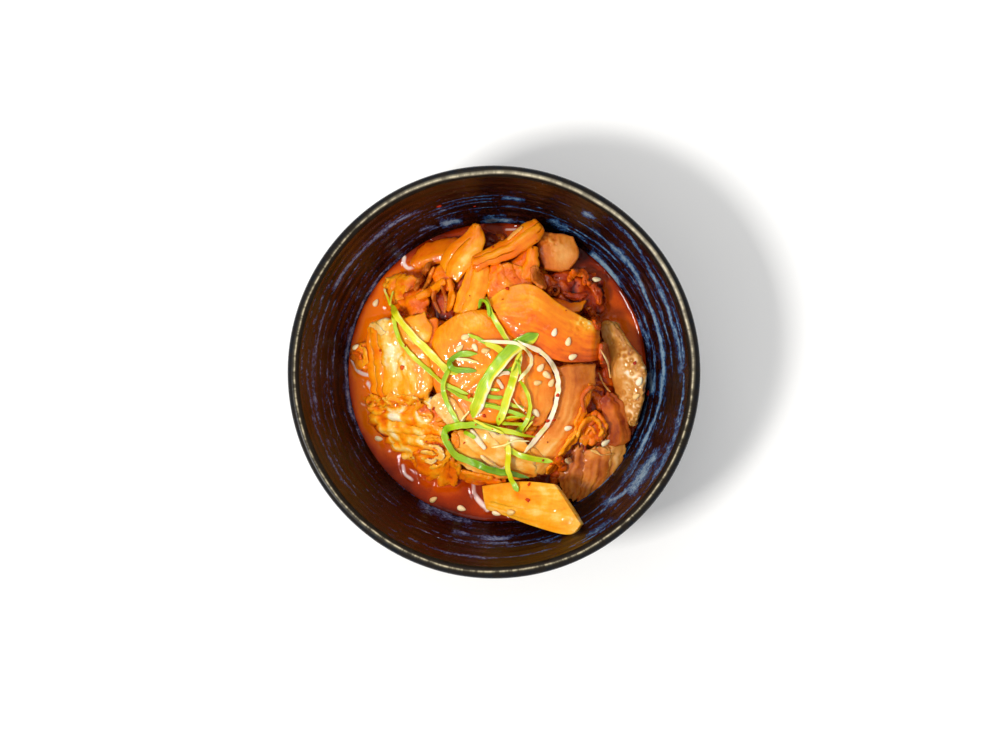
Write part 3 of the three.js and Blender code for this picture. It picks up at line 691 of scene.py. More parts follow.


# %% [markdown]
# ## The flesh of the cabbage
# Pickled cabbage is wet and half see-through, from near white through amber to a deep red-brown where the
# paste has soaked in. One material does it all: it reads `tone`, adds fine fibres that run along the piece,
# adds painted shade in the hollows of a fine crinkle, and looks the sum up on a ramp of those colours.
# Light spreads a little way under the surface, and a clear wet coat lies on top. Where `glint` is high,
# small bubbles and beads of broth break the coat up, and painted glints in rings round the bubbles lighten
# the colour.

# %% Cabbage material
FLESH = [
    (0.0, "2C0400"), (0.12, "6C1200"), (0.25, "A83202"), (0.38, "D05402"), (0.5, "EC6C02"),
    (0.6, "F78202"), (0.7, "FE9508"), (0.8, "FFAC22"), (0.9, "FFC968"), (1.0, "FFE6BE"),
]  # fmt: skip
TANNED = [
    (0.05, "2A0E04"), (0.25, "6E3410"), (0.42, "A66420"), (0.58, "CC9040"), (0.75, "E6BC80"), (0.95, "FAE8CE"),
]  # fmt: skip


def cabbage(name, fibrous, crinkled):
    """fibrous is how much the fibres change the colour, and crinkled the depth in metres of the small
    crinkles; the tone follows them too, as painted shade in their hollows. The clear coat fills the finest
    hollows, so it doesn't follow the relief of the flesh: it has soft ripples of its own, and beads where the
    surface is frothy. There painted glints lighten the colour in rings round the bubbles."""
    graph = Graph(name)
    place = graph.place()
    fibre = graph.noise(graph.uv(1.3, 9), 1.0, 4.0, 0.55)
    fine = graph.noise(graph.uv(2.4, 22), 1.0, 2.0, 0.5)
    blotch = graph.noise(place, 260.0, 5.0, 0.65)
    crinkle = graph.noise(place, 560.0, 4.0, 0.6)
    ripple = graph.noise(place, 420.0, 1.0, 0.5)
    cells = graph.node("ShaderNodeTexVoronoi", {"Vector": place, "Scale": 620.0}, feature="SMOOTH_F1")
    bubbles = cells.outputs[0]
    glint = graph.attribute("glint")
    tone = graph.attribute("tone")
    tone = graph.math("MULTIPLY_ADD", graph.math("SUBTRACT", fibre, 0.5), fibrous, tone)
    tone = graph.math("MULTIPLY_ADD", graph.math("SUBTRACT", fine, 0.5), 0.4 * fibrous, tone)
    tone = graph.math("MULTIPLY_ADD", graph.math("SUBTRACT", blotch, 0.5), 0.34, tone)
    # Painted shade: the tone follows the crinkle's bump, darker in its hollows and paler on its rises.
    tone = graph.math("MULTIPLY_ADD", graph.math("SUBTRACT", crinkle, 0.5), 300 * crinkled, tone)
    # Painted glints: where glint is high, rings round the bubbles lighten the tone.
    painted_glint_rings = graph.ramp(bubbles, [(0.1, 0.24), (0.3, 0.0), (0.5, 0.12), (0.7, 0.42)])
    tone = graph.math("ADD", tone, graph.math("MULTIPLY", glint, painted_glint_rings))
    colour = graph.mix(graph.attribute("tan"), graph.ramp(tone, FLESH), graph.ramp(tone, TANNED))
    relief = graph.math("MULTIPLY_ADD", fine, 0.2, fibre)
    normal = graph.bump(relief, 0.00006, graph.bump(blotch, 0.0001))
    normal = graph.bump(crinkle, crinkled, normal)
    beads = graph.math("MULTIPLY", glint, bubbles)
    normal = graph.bump(beads, 0.0008, normal)
    film = graph.bump(beads, 0.0008, graph.bump(ripple, 0.0006))
    return graph.finish(
        Base_Color=colour,
        Roughness=0.4,
        Specular_IOR_Level=0.1,
        Normal=normal,
        Subsurface_Weight=0.5,
        Subsurface_Radius=(0.8, 0.5, 0.2),
        Subsurface_Scale=0.0014,
        Coat_Weight=1.0,
        Coat_IOR=1.36,
        Coat_Roughness=0.06,
        Coat_Normal=film,
    )


leaf_flesh = cabbage("cabbage_leaf", 0.12, 0.0004)
stem_flesh = cabbage("cabbage_stem", 0.13, 0.00006)

# %% [markdown]
# ## The heap's core
# Under the pieces that show lies a packed mound of soaked leaf. It is the same low dome as the solid, and
# a little lower, so that the pieces sink into it and the gaps between them look deep. Its height is a
# parabola of the distance from its middle, as a share of the outline's radius in that direction.

# %% Core
BROTH_LEVEL = 22.0
HEAP_CENTRE = np.array([1.0, 0.0])
HEAP_RADII = [45, 39, 44, 44, 44, 44, 43, 42, 39, 36, 42, 45]
HEAP_EDGE, HEAP_TOP = 21.0, 36.0
CORE_SUNK = 1.3


def heap_radius(angle):
    """The heap's outline: a closed smooth curve through twelve radii, thirty degrees apart."""
    turn = (angle / (2 * math.pi)) % 1
    wrapped = HEAP_RADII[-2:] + HEAP_RADII + HEAP_RADII[:3]
    return through(wrapped, (2 + turn * len(HEAP_RADII)) / (len(wrapped) - 1))


def add_core():
    """share runs from 0 in the middle to 1 at the outline. The height is the parabola, less what the core
    is sunk, plus creased noise. Below the outline the side falls steeply to a flat base."""
    angle = np.linspace(0, 2 * math.pi, 300, endpoint=False)[None, :]
    share = np.linspace(0.01, 1, 110)[:, None]
    share, angle = np.broadcast_arrays(share, angle)
    reach = heap_radius(angle)
    x = HEAP_CENTRE[0] + share * reach * np.cos(angle)
    y = HEAP_CENTRE[1] + share * reach * np.sin(angle)
    crease = 1 - 2 * np.abs(rough(x / 6 + 20, y / 6 + 20, 3, 4))
    z = HEAP_EDGE + (HEAP_TOP - HEAP_EDGE) * (1 - share**2) - CORE_SUNK + 0.9 * crease
    # Painted shade: the tone falls towards the right, where the heap lies in shadow, and in the valleys of the creases.
    tone = 0.42 + 0.12 * crease + 0.1 * rough(x / 9 + 9, y / 9 + 9, 4) - 0.12 * smooth(8, 34, x)
    rows = [np.stack([x, y, z], axis=-1)]
    for shrink, level in ((0.985, 15.0), (0.9, 11.0), (0.7, 9.2)):
        base = HEAP_CENTRE + shrink * (rows[0][-1, :, :2] - HEAP_CENTRE)
        rows.append(np.concatenate([base, np.full((300, 1), level)], axis=1)[None])
    points = np.concatenate(rows)
    tone = np.concatenate([tone, np.full((3, 300), 0.1)])
    ids = np.arange(tone.size).reshape(tone.shape)
    around = np.roll(ids, -1, axis=1)
    top = np.stack([np.full(300, ids.size), ids[0], around[0]], axis=1)
    under = np.stack([np.full(300, ids.size + 1), around[-1], ids[-1]], axis=1)
    ends = [[*HEAP_CENTRE, points[0, :, 2].mean()], [*HEAP_CENTRE, 9.2]]
    flat = points.reshape(-1, 3)
    points = np.concatenate([flat, ends])
    none = np.zeros(len(points))
    values = {"tone": np.append(tone, [0.2, 0.1]), "glint": none, "tan": none}
    faces = [grid_faces(ids, wrap=True), top, under]
    return add_mesh("soaked_core", points, faces, values, points[:, :2] / 10), flat


core, core_points = add_core()
finish_piece(core, leaf_flesh, "cabbage", "kimchi_heap")
print("core faces:", len(core.data.polygons))

# %% [markdown]
# ## A map of heights
# Scallion, seeds and flakes lie on whatever is under them. So the top of the food is kept as a map, half a
# millimetre to a cell, and each new piece raises it. Pieces that come later read their height and slope
# from it, and so they rest on the food instead of hanging over it or sinking in.

# %% Height map
MAP_HALF = 58.0
MAP_STEP = 0.5
MAP_CELLS = int(2 * MAP_HALF / MAP_STEP) + 1
food_top = np.full((MAP_CELLS, MAP_CELLS), BROTH_LEVEL)


def raise_map(points):
    """Lifts each cell of the map to the highest of the points over it."""
    i, j = (np.rint((points[:, k] + MAP_HALF) / MAP_STEP).astype(int) for k in (0, 1))
    keep = (i >= 0) & (j >= 0) & (i < MAP_CELLS) & (j < MAP_CELLS)
    np.maximum.at(food_top, (i[keep], j[keep]), points[keep, 2])


def widened(grid):
    """Each cell becomes the highest of itself and its eight neighbours."""
    padded = np.pad(grid, 1, mode="edge")
    shifts = [padded[a : a + MAP_CELLS, b : b + MAP_CELLS] for a in range(3) for b in range(3)]
    return np.max(shifts, axis=0)


def read_map(grid, x, y):
    """The grid's value at any place, blended between its four nearest cells."""
    p = np.clip((np.asarray(x) + MAP_HALF) / MAP_STEP, 0, MAP_CELLS - 1.001)
    q = np.clip((np.asarray(y) + MAP_HALF) / MAP_STEP, 0, MAP_CELLS - 1.001)
    i, j = p.astype(int), q.astype(int)
    s, t = p - i, q - j
    near = grid[i, j] * (1 - s) + grid[i + 1, j] * s
    far = grid[i, j + 1] * (1 - s) + grid[i + 1, j + 1] * s
    return near * (1 - t) + far * t


raise_map(core_points)

# %% [markdown]
# ## Edges, ribbons and whole tables
# The stems that lie apart are listed first, each with its two edges and what sets it apart: thickness,
# folds, tone. A small fold needs only a path and a width, so a helper works its two edges out. Another one
# builds a whole table of pieces and raises the map by each.

# %% Cut stems
STEMS = {
    "front_stem": dict(
        left=[[-4.5, -38.5, 23.5], [1, -37.5, 27], [10.5, -36.5, 32], [20.5, -37, 38]],
        right=[[-3, -45.5, 24], [5, -48, 29.5], [14.5, -51, 36], [25, -53, 43.2], [29, -49.5, 44.4]],
        thick=3.4, crown=1.0, rim=0.5, round=0.06, seed=11, fibre_depth=0.012,
        tone=0.78, tone_across=0.03, tone_fibre=0.04, tone_along=0.02,
        # The third spot is a painted highlight.
        spots=[(0.12, 0.5, 0.18, 0.6, 0.04), (0.52, 0.3, 0.06, 0.12, -0.1), (0.8, 0.16, 0.07, 0.1, 0.16)],
        folds=[(0.1, 0.62, 0.95, 0.55, 0.9, -0.14, -0.03), (0.3, 0.85, 0.95, 0.8, 0.9, -0.1, -0.03)],
    ),
    "wall_stem": dict(
        left=[[34.5, 17.5, 24], [36.5, 9, 24.6], [38.5, -1, 25], [41, -10.5, 24.6], [44, -17.5, 24]],
        right=[[39.5, 17.5, 27.5], [45, 9.5, 30], [49.5, 2, 32], [49.5, -7.5, 30.6], [46.5, -18.5, 27.5]],
        thick=3.2, crown=0.8, crinkle=0.25, size=4.0, ragged=0.3, round=0.3, seed=21,
        tone=0.55, tone_across=-0.06, tone_noise=0.1, tan=(0.88, 0.0, 0.12),
        spots=[(0.5, 0.05, 0.4, 0.1, -0.08), (0.95, 0.3, 0.2, 0.3, -0.14)],
        froth=[(0.62, 0.82, 0.3, 0.3, 1.0), (0.86, 0.6, 0.18, 0.4, 1.0), (0.4, 0.6, 0.25, 0.25, 0.7)],
    ),
    "upper_stem": dict(
        left=[[-2.5, 22.5, 37.5], [3, 27, 38.5], [11.5, 28.5, 38.6], [20, 22.5, 38], [29, 17.5, 36.5], [33, 16, 35.5]],
        right=[[3.5, 16, 39.5], [8, 10.5, 40.5], [14.5, 6, 40.5], [22, 3.5, 39.5], [28, 3.5, 37], [33.5, 4, 35]],
        thick=4.0, crown=1.6, rim=0.7, round=0.12, seed=31, cut=(4.6, 2.4), fibre_depth=0.015,
        tone=0.57, tone_across=-0.14, tone_along=-0.03, tone_fibre=0.07, tone_cut=-0.03,
        # The third spot is a painted highlight, beside the frosty glints of the cut end.
        spots=[(0.3, 0.2, 0.25, 0.3, 0.05), (0.85, 0.95, 0.3, 0.3, -0.05), (0.8, 0.12, 0.08, 0.16, 0.16)],
        froth=[(0.82, 0.12, 0.07, 0.16, 1.0), (0.72, 0.3, 0.08, 0.2, 0.4)],
    ),
    "top_left_stem": dict(
        left=[[-6.5, 49.5, 32], [-11, 45, 32], [-15.5, 41.5, 31.5], [-18.5, 36.5, 30.5], [-16.5, 32.5, 31]],
        right=[[-6, 49, 32], [-3.5, 43, 33.5], [-5.5, 38, 35], [-9, 34, 35], [-13, 29.5, 34]],
        thick=2.4, crown=1.2, rim=0.8, ragged=0.2, round=0.1, seed=41,
        tone=0.66, tone_along=0.02, tone_fibre=0.04,
        # The first spot is a painted highlight along the lower right.
        spots=[(0.62, 0.7, 0.26, 0.16, 0.22), (0.85, 0.3, 0.2, 0.3, 0.04), (0.4, 0.05, 0.5, 0.12, -0.08)],
        folds=[(0.3, 0.35, 0.9, 0.3, 0.6, -0.3, -0.08)],
    ),
    "top_block": dict(
        left=[[14, 47, 28.6], [13.5, 40.5, 30.5], [16, 33.5, 31]],
        right=[[26, 45.5, 28.4], [27.5, 39, 29.4], [24.5, 33.5, 30]],
        thick=3.4, crown=0.3, arch=0.1, rim=0.8, round=0.3, seed=51, ragged=0.15,
        # Painted shade: tone_edge and tone_end darken the block's sides and ends.
        tone=0.51, tone_across=0.02, tone_edge=-0.1, tone_end=-0.06, tan=(0.45, 0.0, 0.1),
        spots=[(0.55, 0.6, 0.26, 0.22, 0.26)],
        froth=[(0.25, 0.3, 0.26, 0.3, 0.7)],
    ),
}  # fmt: skip


def ribbon(look):
    """A look that gives a path instead of two edges. They run at half the width on each side of it, wide
    times a taper that goes from the first end's share over 1 to the last end's, at the map's height."""
    u = np.linspace(0, 1, 7)
    path = through(look["path"], u)
    ahead = np.gradient(path, axis=0)
    first, last = look.get("taper", (0.7, 0.7))
    half = 0.5 * look["wide"] * np.interp(u, [0, 0.5, 1], [first, 1, last])
    aside = np.column_stack([-ahead[:, 1], ahead[:, 0]]) * (half / np.linalg.norm(ahead, axis=1))[:, None]
    ground = widened(food_top)
    edges = (path + aside, path - aside)
    left, right = (np.column_stack([edge, read_map(ground, *edge.T) + look["lift"]]) for edge in edges)
    return dict(look, left=left, right=right)


def add_sheets(table, material, slot, node=None, together=None, step=SHEET_STEP):
    """Builds every piece of a table and lays it on the height map. A piece replaces the solid of its own
    name, or the one that is given, and a look may name a flesh of its own. With a name in together, all of
    them become one joined piece."""
    parts = []
    for name, look in table.items():
        part = closed_sheet(ribbon(look) if "path" in look else look, step)
        raise_map(part[0])
        parts.append(part)
        if not together:
            finish_piece(add_mesh("cut_" + name, *part), look.get("flesh", material), slot, node or name)
    if together:
        finish_piece(add_mesh(together, *joined([outward(part) for part in parts])), material, slot, node)


def outward(part):
    """Turns a part's faces round where they enclose a negative volume, so that they all face out."""
    points, faces = part[0], part[1]
    normal = np.cross(points[faces[:, 1]] - points[faces[:, 0]], points[faces[:, 3]] - points[faces[:, 0]])
    if np.einsum("ij,ij->", points[faces].mean(axis=1) - points.mean(axis=0), normal) < 0:
        faces = faces[:, ::-1]
    return points, faces, *part[2:]


# %% [markdown]
# ## Scraps between the pieces
# In a real heap no gap is empty. Torn scraps of leaf lie on the core before the large pieces cover most of
# them. They come from seeded draws: a place, a turn, a length and a tone that is darker on the shaded side.

# %% Scraps
SCRAPS = 110


def scrap_looks():
    rng = np.random.default_rng(41)
    looks = {}
    for number in range(SCRAPS):
        angle, share = rng.uniform(0, 2 * math.pi), math.sqrt(rng.uniform(0.04, 0.92))
        outwards = np.array([math.cos(angle), math.sin(angle)])
        centre = HEAP_CENTRE + share * heap_radius(np.array(angle)) * outwards
        turn, length = rng.uniform(0, 2 * math.pi), rng.uniform(5, 11)
        ahead, aside = np.array([math.cos(turn), math.sin(turn)]), np.array([-math.sin(turn), math.cos(turn)])
        bend = rng.uniform(-2, 2)
        path = [centre - 0.5 * length * ahead, centre + bend * aside, centre + 0.5 * length * ahead]
        looks[f"scrap_{number}"] = dict(
            path=path, wide=rng.uniform(2.5, 6), lift=rng.uniform(-0.5, 0.3), thick=1.3, crown=0.8,
            frill=0.5, waves=rng.uniform(2, 4), crinkle=0.4, crease=0.3, size=3, ragged=0.7,
            seed=500 + 7 * number, tone=rng.uniform(0.42, 0.6) - 0.14 * float(smooth(8, 32, centre[0])),
            tone_crease=0.12, tone_noise=0.08,
        )  # fmt: skip
    return looks


add_sheets(scrap_looks(), leaf_flesh, "cabbage", "kimchi_heap", "leaf_scraps", 0.6)
print("scraps:", SCRAPS)

# %% [markdown]
# ## The pieces that show
# Each piece below is listed with its two edges and what sets it apart: thickness, folds, frills, tone. The
# stems that lie apart come first, each in place of its own solid. Then come the leaves and stems that are
# one with the heap. Their edges are the same as the solid's, only dipped a little where they touch broth.

# %% Leaves and stems of the heap
add_sheets(STEMS, stem_flesh, "cabbage_stem")
print("stems:", len(STEMS))
HEAP_PIECES = {
    "sunk_leaf": dict(
        left=[[-30, 36.5, 22.4], [-25.5, 42, 22.6], [-19.5, 44.5, 22.8], [-12.5, 46, 23]],
        right=[[-28, 34.5, 24], [-23, 35.5, 25], [-17, 37, 26.5], [-11.5, 40, 27]],
        thick=2.4, crown=1.2, crinkle=0.15, ragged=0.4, seed=151, flesh=stem_flesh,
        tone=0.54, tone_across=0.04, tone_edge=-0.06,
        folds=[(0.3, 0.7, 0.9, 0.6, 0.8, 0.4, 0.05)],
    ),
    "red_hollow": dict(
        left=[[-23, 28, 29.6], [-20, 17, 32]],
        right=[[-15, 28, 30.6], [-13, 17, 33]],
        thick=1.6, crown=-0.6, crinkle=0.4, crease=0.3, size=3, ragged=0.4, seed=191,
        tone=0.25, tone_crease=0.1, tone_noise=0.06,
    ),
    "red_gap": dict(
        left=[[-14, 27, 32], [-12, 32, 32.5]],
        right=[[-9.5, 26, 33], [-7, 35, 33]],
        thick=1.6, crinkle=0.3, ragged=0.4, seed=192,
        tone=0.28, tone_noise=0.06,
    ),
    "left_lobe": dict(
        left=[[-38.5, 29.5, 24], [-37.5, 26, 25.5], [-34, 22, 28]],
        right=[[-33.5, 33, 24.5], [-29, 33, 27], [-25.5, 30, 29.5]],
        thick=1.6, crown=1.2, frill=0.6, waves=4, crinkle=0.5, crease=0.5, size=3, ragged=1.1, seed=131, round=0.2,
        tone=0.62, tone_crease=0.18, tone_depth=0.06, tone_noise=0.09,
        spots=[(0.85, 0.4, 0.2, 0.4, 0.1)],
    ),
    "low_lobe": dict(
        left=[[-34.5, 25, 28], [-31.5, 21, 29.4], [-30.5, 17.5, 30]],
        right=[[-25.5, 29, 30.5], [-22.5, 25, 31.4], [-23, 19, 32]],
        thick=1.6, crown=1.2, frill=0.5, waves=4, crinkle=0.45, crease=0.4, size=3, ragged=0.6, seed=132,
        tone=0.5, tone_crease=0.12, tone_noise=0.08, tone_across=-0.05,
        spots=[(0.2, 0.5, 0.3, 0.4, 0.12)],
    ),
    "middle_fold": dict(
        left=[[-23, 33.5, 29.5], [-20, 30, 31.2], [-17, 26.5, 32.4]],
        right=[[-17, 37, 30], [-14, 33, 32.5], [-13, 27.5, 33.4]],
        thick=1.8, crown=1.2, frill=0.3, waves=3, crinkle=0.3, crease=0.3, size=3, ragged=0.5, seed=133,
        tone=0.57, tone_crease=0.1, tone_noise=0.06,
    ),
    "dark_curls": dict(
        left=[[17, 33.5, 28], [19, 27.5, 29], [21, 22, 29.6]],
        right=[[33.5, 34, 24], [36, 28, 24.6], [36, 19, 24.6]],
        thick=2.0, crown=1.4, frill=0.6, waves=3, crinkle=0.6, crease=0.6, size=3.4, ragged=0.8, seed=181,
        tone=0.2, tone_crease=0.14, tone_depth=0.08, tone_noise=0.06,
        froth=[(0.3, 0.4, 0.2, 0.2, 0.3), (0.6, 0.7, 0.15, 0.2, 0.3)],
    ),
    "back_leaf": dict(
        left=[[-1, 37, 34.6], [-2.5, 29.5, 36.5], [-3, 22.5, 37.5]],
        right=[[9, 35, 34.6], [12, 29.5, 35.8], [12, 24, 36.6]],
        thick=1.8, crown=1.2, frill=0.3, waves=3, crinkle=0.3, crease=0.3, size=5, ragged=0.5, seed=221,
        tone=0.57, tone_crease=0.08, tone_noise=0.07,
        folds=[(0.1, 0.3, 0.9, 0.5, 0.7, 0.5, 0.07), (0.1, 0.7, 0.8, 0.8, 0.8, -0.3, -0.05)],
    ),
    "right_sliver": dict(
        left=[[18.5, 25, 31.2], [24, 23.2, 31.2], [30, 23.5, 30]],
        right=[[19.5, 21, 33], [24, 19.5, 33], [28.5, 20, 32]],
        thick=1.4, crown=0.5, ragged=0.4, round=0.05, seed=241,
        tone=0.52, tone_along=0.06,
    ),
    "middle_strip": dict(
        left=[[-8, 36.5, 34], [-10, 31.5, 35.4], [-13, 25, 35.5], [-14.5, 19, 35.7]],
        right=[[-2, 36, 34.5], [-1.5, 30.5, 35.8], [-3, 25, 37], [-6.5, 19.5, 37.7]],
        thick=2.0, crown=1.2, ragged=0.3, seed=141, flesh=stem_flesh,
        tone=0.68, tone_fibre=0.05, tone_along=0.03,
        folds=[(0.0, 0.3, 1.0, 0.35, 0.6, -0.25, -0.08), (0.1, 0.65, 0.9, 0.6, 0.8, 0.3, 0.06)],
    ),
    "strip_under": dict(
        left=[[10.5, 42, 33], [5.5, 36.5, 34], [0, 33, 35]],
        right=[[12, 39.5, 33], [8.5, 34, 34.5], [3, 29.5, 35.5]],
        thick=1.8, crown=1.0, ragged=0.3, seed=142,
        tone=0.5, tone_fibre=0.05,
        folds=[(0.0, 0.5, 1.0, 0.5, 0.7, -0.25, -0.05)],
    ),
    "branch_strip": dict(
        left=[[10.5, 43, 33.3], [10, 37.5, 34.8], [7, 31, 35.6]],
        right=[[14, 41.5, 33], [14, 36, 34.8], [12, 29.5, 35.8]],
        thick=1.8, crown=1.2, ragged=0.4, seed=171, flesh=stem_flesh,
        tone=0.62, tone_fibre=0.05,
        folds=[(0.0, 0.45, 1.0, 0.5, 0.7, -0.3, -0.06)],
    ),
    "top_strip": dict(
        left=[[13.5, 51, 33], [8.5, 48.5, 33.5], [3, 43.5, 34], [-4, 40, 34.5], [-8.5, 38, 34]],
        right=[[16, 47, 33], [13, 42.5, 35], [5, 37.5, 36.5], [-2.5, 35, 37], [-7, 32.5, 36.5]],
        thick=2.6, crown=1.8, ragged=0.3, round=0.15, seed=121, flesh=stem_flesh,
        tone=0.6, tone_fibre=0.06, tone_end=-0.02,
        folds=[
            (0.02, 0.36, 0.98, 0.3, 0.9, -0.3, -0.05), (0.1, 0.66, 0.98, 0.62, 0.8, -0.25, -0.05),
            (0.1, 0.5, 0.95, 0.45, 0.7, 0.3, 0.08),
        ],
    ),
    "dome_leaf": dict(
        left=[[-19.5, 16, 35], [-22, 8.5, 35.6], [-21.5, 0, 35.6], [-19.5, -9, 35], [-16, -18, 34]],
        right=[[-5, 22, 36.4], [4, 17.5, 38], [14, 6.5, 38.6], [18.5, -4, 38], [16.5, -16, 36.5]],
        thick=2.4, crown=2.6, crinkle=0.12, size=9, round=0.6, seed=61, fibre_depth=0.04, droop=0.8, arch=0.8,
        tone=0.63, tone_noise=0.07, tone_fibre=0.02, tone_edge=-0.03, flesh=stem_flesh,
        # The first spot is a painted highlight near the top.
        spots=[(0.2, 0.66, 0.12, 0.16, 0.14), (0.42, 0.45, 0.3, 0.25, 0.06), (0.6, 0.7, 0.2, 0.2, -0.06)],
        folds=[(0.75, 0.1, 0.55, 0.5, 0.9, 0.25, 0.08), (0.9, 0.3, 0.6, 0.75, 0.9, -0.2, -0.05)],
    ),
    "shade_leaf": dict(
        left=[[5.5, 6.5, 39.6], [7, -4, 39.4], [8, -16, 38.4]],
        right=[[17, 5.5, 38.6], [20, -5, 37.6], [16, -19, 36.4]],
        thick=1.8, crown=1.2, crinkle=0.2, size=6, ragged=0.4, seed=62,
        tone=0.64, tone_noise=0.07, tan=(0.15, 0.0, 0.15), flesh=stem_flesh,
        folds=[(0.1, 0.25, 0.9, 0.3, 0.8, 0.3, 0.08), (0.2, 0.6, 0.9, 0.6, 0.7, -0.3, -0.06)],
    ),
    "orange_gap": dict(
        left=[[-24, 17, 34.6], [-24.5, 12, 35], [-23, 7, 35.5]],
        right=[[-18.5, 18.5, 35], [-19, 12.5, 35.8], [-20, 6.5, 36.2]],
        thick=1.6, crown=0.8, crinkle=0.3, ragged=0.3, seed=63,
        tone=0.53, tone_noise=0.06,
    ),
    "left_stem": dict(
        left=[[-42.5, 17, 27], [-44, 9, 26.2], [-43.5, 0, 25.6], [-41.5, -10, 25.2]],
        right=[[-30.5, 18.5, 33.5], [-24, 10.5, 35.6], [-20.5, 1.5, 36.4], [-21, -9.5, 35.4]],
        thick=3.2, crown=1.6, crinkle=0.3, size=5, ragged=0.6, round=0.3, seed=71, fibre_depth=0.02,
        froth=[(0.12, 0.18, 0.1, 0.14, 0.5), (0.3, 0.5, 0.12, 0.1, 0.3), (0.55, 0.62, 0.1, 0.1, 0.3)],
        tone=0.79, tone_fibre=0.06, tone_noise=0.09, flesh=stem_flesh,
        spots=[
            (0.5, 0.0, 0.9, 0.13, -0.26), (0.4, 0.22, 0.5, 0.06, -0.1), (0.5, 0.42, 0.4, 0.14, 0.08),
            (0.92, 0.3, 0.12, 0.4, -0.12), (0.6, 0.85, 0.2, 0.1, -0.12), (0.15, 0.3, 0.12, 0.12, -0.06),
        ],
        folds=[
            (0.1, 0.28, 0.95, 0.28, 0.8, -0.3, -0.05), (0.1, 0.14, 0.9, 0.16, 0.7, -0.3, -0.05),
            (0.1, 0.45, 0.9, 0.4, 1.2, 0.5, 0.04), (0.74, 0.42, 0.5, 0.62, 0.8, -0.35, -0.06),
            (0.55, 0.62, 0.85, 0.75, 0.8, 0.4, 0.06),
        ],
    ),
    "square_chip": dict(
        left=[[-30.5, 18, 35.2], [-29.5, 12.5, 36.2], [-27, 9, 36.8]],
        right=[[-23.5, 20, 36.2], [-21, 14.5, 37.2], [-22, 10, 37.6]],
        thick=1.6, crown=0.6, crinkle=0.2, size=4, ragged=0.4, round=0.05, seed=161, flesh=stem_flesh,
        tone=0.72, tone_along=0.08, tone_fibre=0.05, tone_noise=0.08,
        spots=[(0.75, 0.6, 0.2, 0.3, 0.16)],
    ),
    "pale_panel": dict(
        left=[[-22.5, -10, 36], [-18.5, -14.5, 36.4], [-14.5, -19, 35.6]],
        right=[[-18.5, -6, 37], [-12.5, -10, 38], [-9, -16, 37.6]],
        thick=1.6, crown=0.8, crinkle=0.25, crease=0.15, size=3, ragged=0.3, seed=72,
        tone=0.84, tone_noise=0.06, tan=(0.3, 0, 0),
    ),
    "lower_left_leaf": dict(
        left=[[-44, -9, 24.4], [-43, -16, 23.2], [-38, -23, 22.3], [-31.5, -28.5, 22.1], [-26, -33, 22]],
        right=[[-20.5, -7, 35], [-17, -12.5, 35.2], [-15, -18.5, 34.6], [-14.5, -24, 33], [-16, -30, 28.5]],
        thick=1.5, crown=1.6, frill=0.7, waves=7, crinkle=0.5, crease=0.45, size=3.6, ragged=1.3, seed=91,
        tone=0.71, tone_crease=0.26, tone_depth=0.14, tone_noise=0.1,
        spots=[(0.5, 0.0, 0.6, 0.14, -0.14), (0.3, 0.5, 0.3, 0.3, 0.04), (0.75, 0.5, 0.2, 0.3, -0.05)],
        froth=[(0.2, 0.4, 0.1, 0.14, 0.1), (0.45, 0.35, 0.08, 0.12, 0.1), (0.65, 0.6, 0.08, 0.1, 0.1)],
        folds=[
            (0.15, 0.1, 0.3, 0.55, 0.8, 0.6, 0.1), (0.35, 0.15, 0.5, 0.6, 0.7, 0.6, 0.1),
            (0.25, 0.2, 0.42, 0.6, 0.8, -0.35, -0.05), (0.55, 0.3, 0.75, 0.7, 0.9, 0.6, 0.08),
            (0.5, 0.5, 0.6, 0.85, 0.8, -0.35, -0.05),
        ],
    ),
    "low_frill": dict(
        left=[[-30, -29.5, 22.4], [-25.5, -34, 22.2], [-19.5, -37, 22.2], [-13.5, -39, 22]],
        right=[[-25.5, -24.5, 28.8], [-20, -26.5, 29.8], [-15.5, -28, 30.4], [-12, -30, 29.4]],
        thick=1.6, crown=1.2, frill=0.8, waves=5, crinkle=0.4, crease=0.35, size=2.8, ragged=1.3, seed=92,
        tone=0.6, tone_crease=0.12, tone_noise=0.08,
    ),
    "low_edge": dict(
        left=[[-14, -31.5, 27.8], [-7, -33.5, 27.4], [2, -35.5, 26.6]],
        right=[[-13.5, -36, 22.8], [-6.5, -38, 22.6], [3.5, -37.5, 24]],
        thick=1.6, crown=1.0, frill=0.5, waves=4, crinkle=0.35, crease=0.3, size=3, ragged=0.8, seed=93,
        tone=0.58, tone_crease=0.12, tone_noise=0.08,
    ),
    "lower_leaf": dict(
        left=[[-15, -18.5, 35.2], [-6.5, -18.5, 36.4], [1.5, -20, 36.8], [10.5, -21.5, 36.2]],
        right=[[-14, -30, 29.5], [-5, -34, 28.4], [4.5, -36, 27], [15.5, -36, 26.6]],
        thick=1.8, crown=2.0, frill=0.3, waves=4, crinkle=0.2, crease=0.1, size=5, ragged=0.5, seed=101,
        tone=0.84, tone_across=-0.05, tone_crease=0.06, tone_noise=0.1, tan=(0.12, 0, 0), flesh=stem_flesh,
        froth=[(0.45, 0.3, 0.2, 0.12, 0.3), (0.7, 0.6, 0.12, 0.12, 0.3)],
        spots=[(0.1, 0.4, 0.12, 0.4, -0.14), (0.85, 0.6, 0.2, 0.3, -0.06)],
        folds=[(0.2, 0.3, 0.6, 0.85, 0.9, 0.5, 0.08), (0.5, 0.1, 0.9, 0.6, 0.9, -0.3, -0.05)],
    ),
    "lower_tip": dict(
        left=[[6.5, -26.5, 32], [11, -31.5, 30]],
        right=[[12, -23.5, 34.5], [17.5, -30, 31]],
        thick=1.6, crown=1.0, crinkle=0.25, ragged=0.4, seed=102,
        tone=0.72, tone_noise=0.07, tan=(0.2, 0, 0),
    ),
    "dark_hollow": dict(
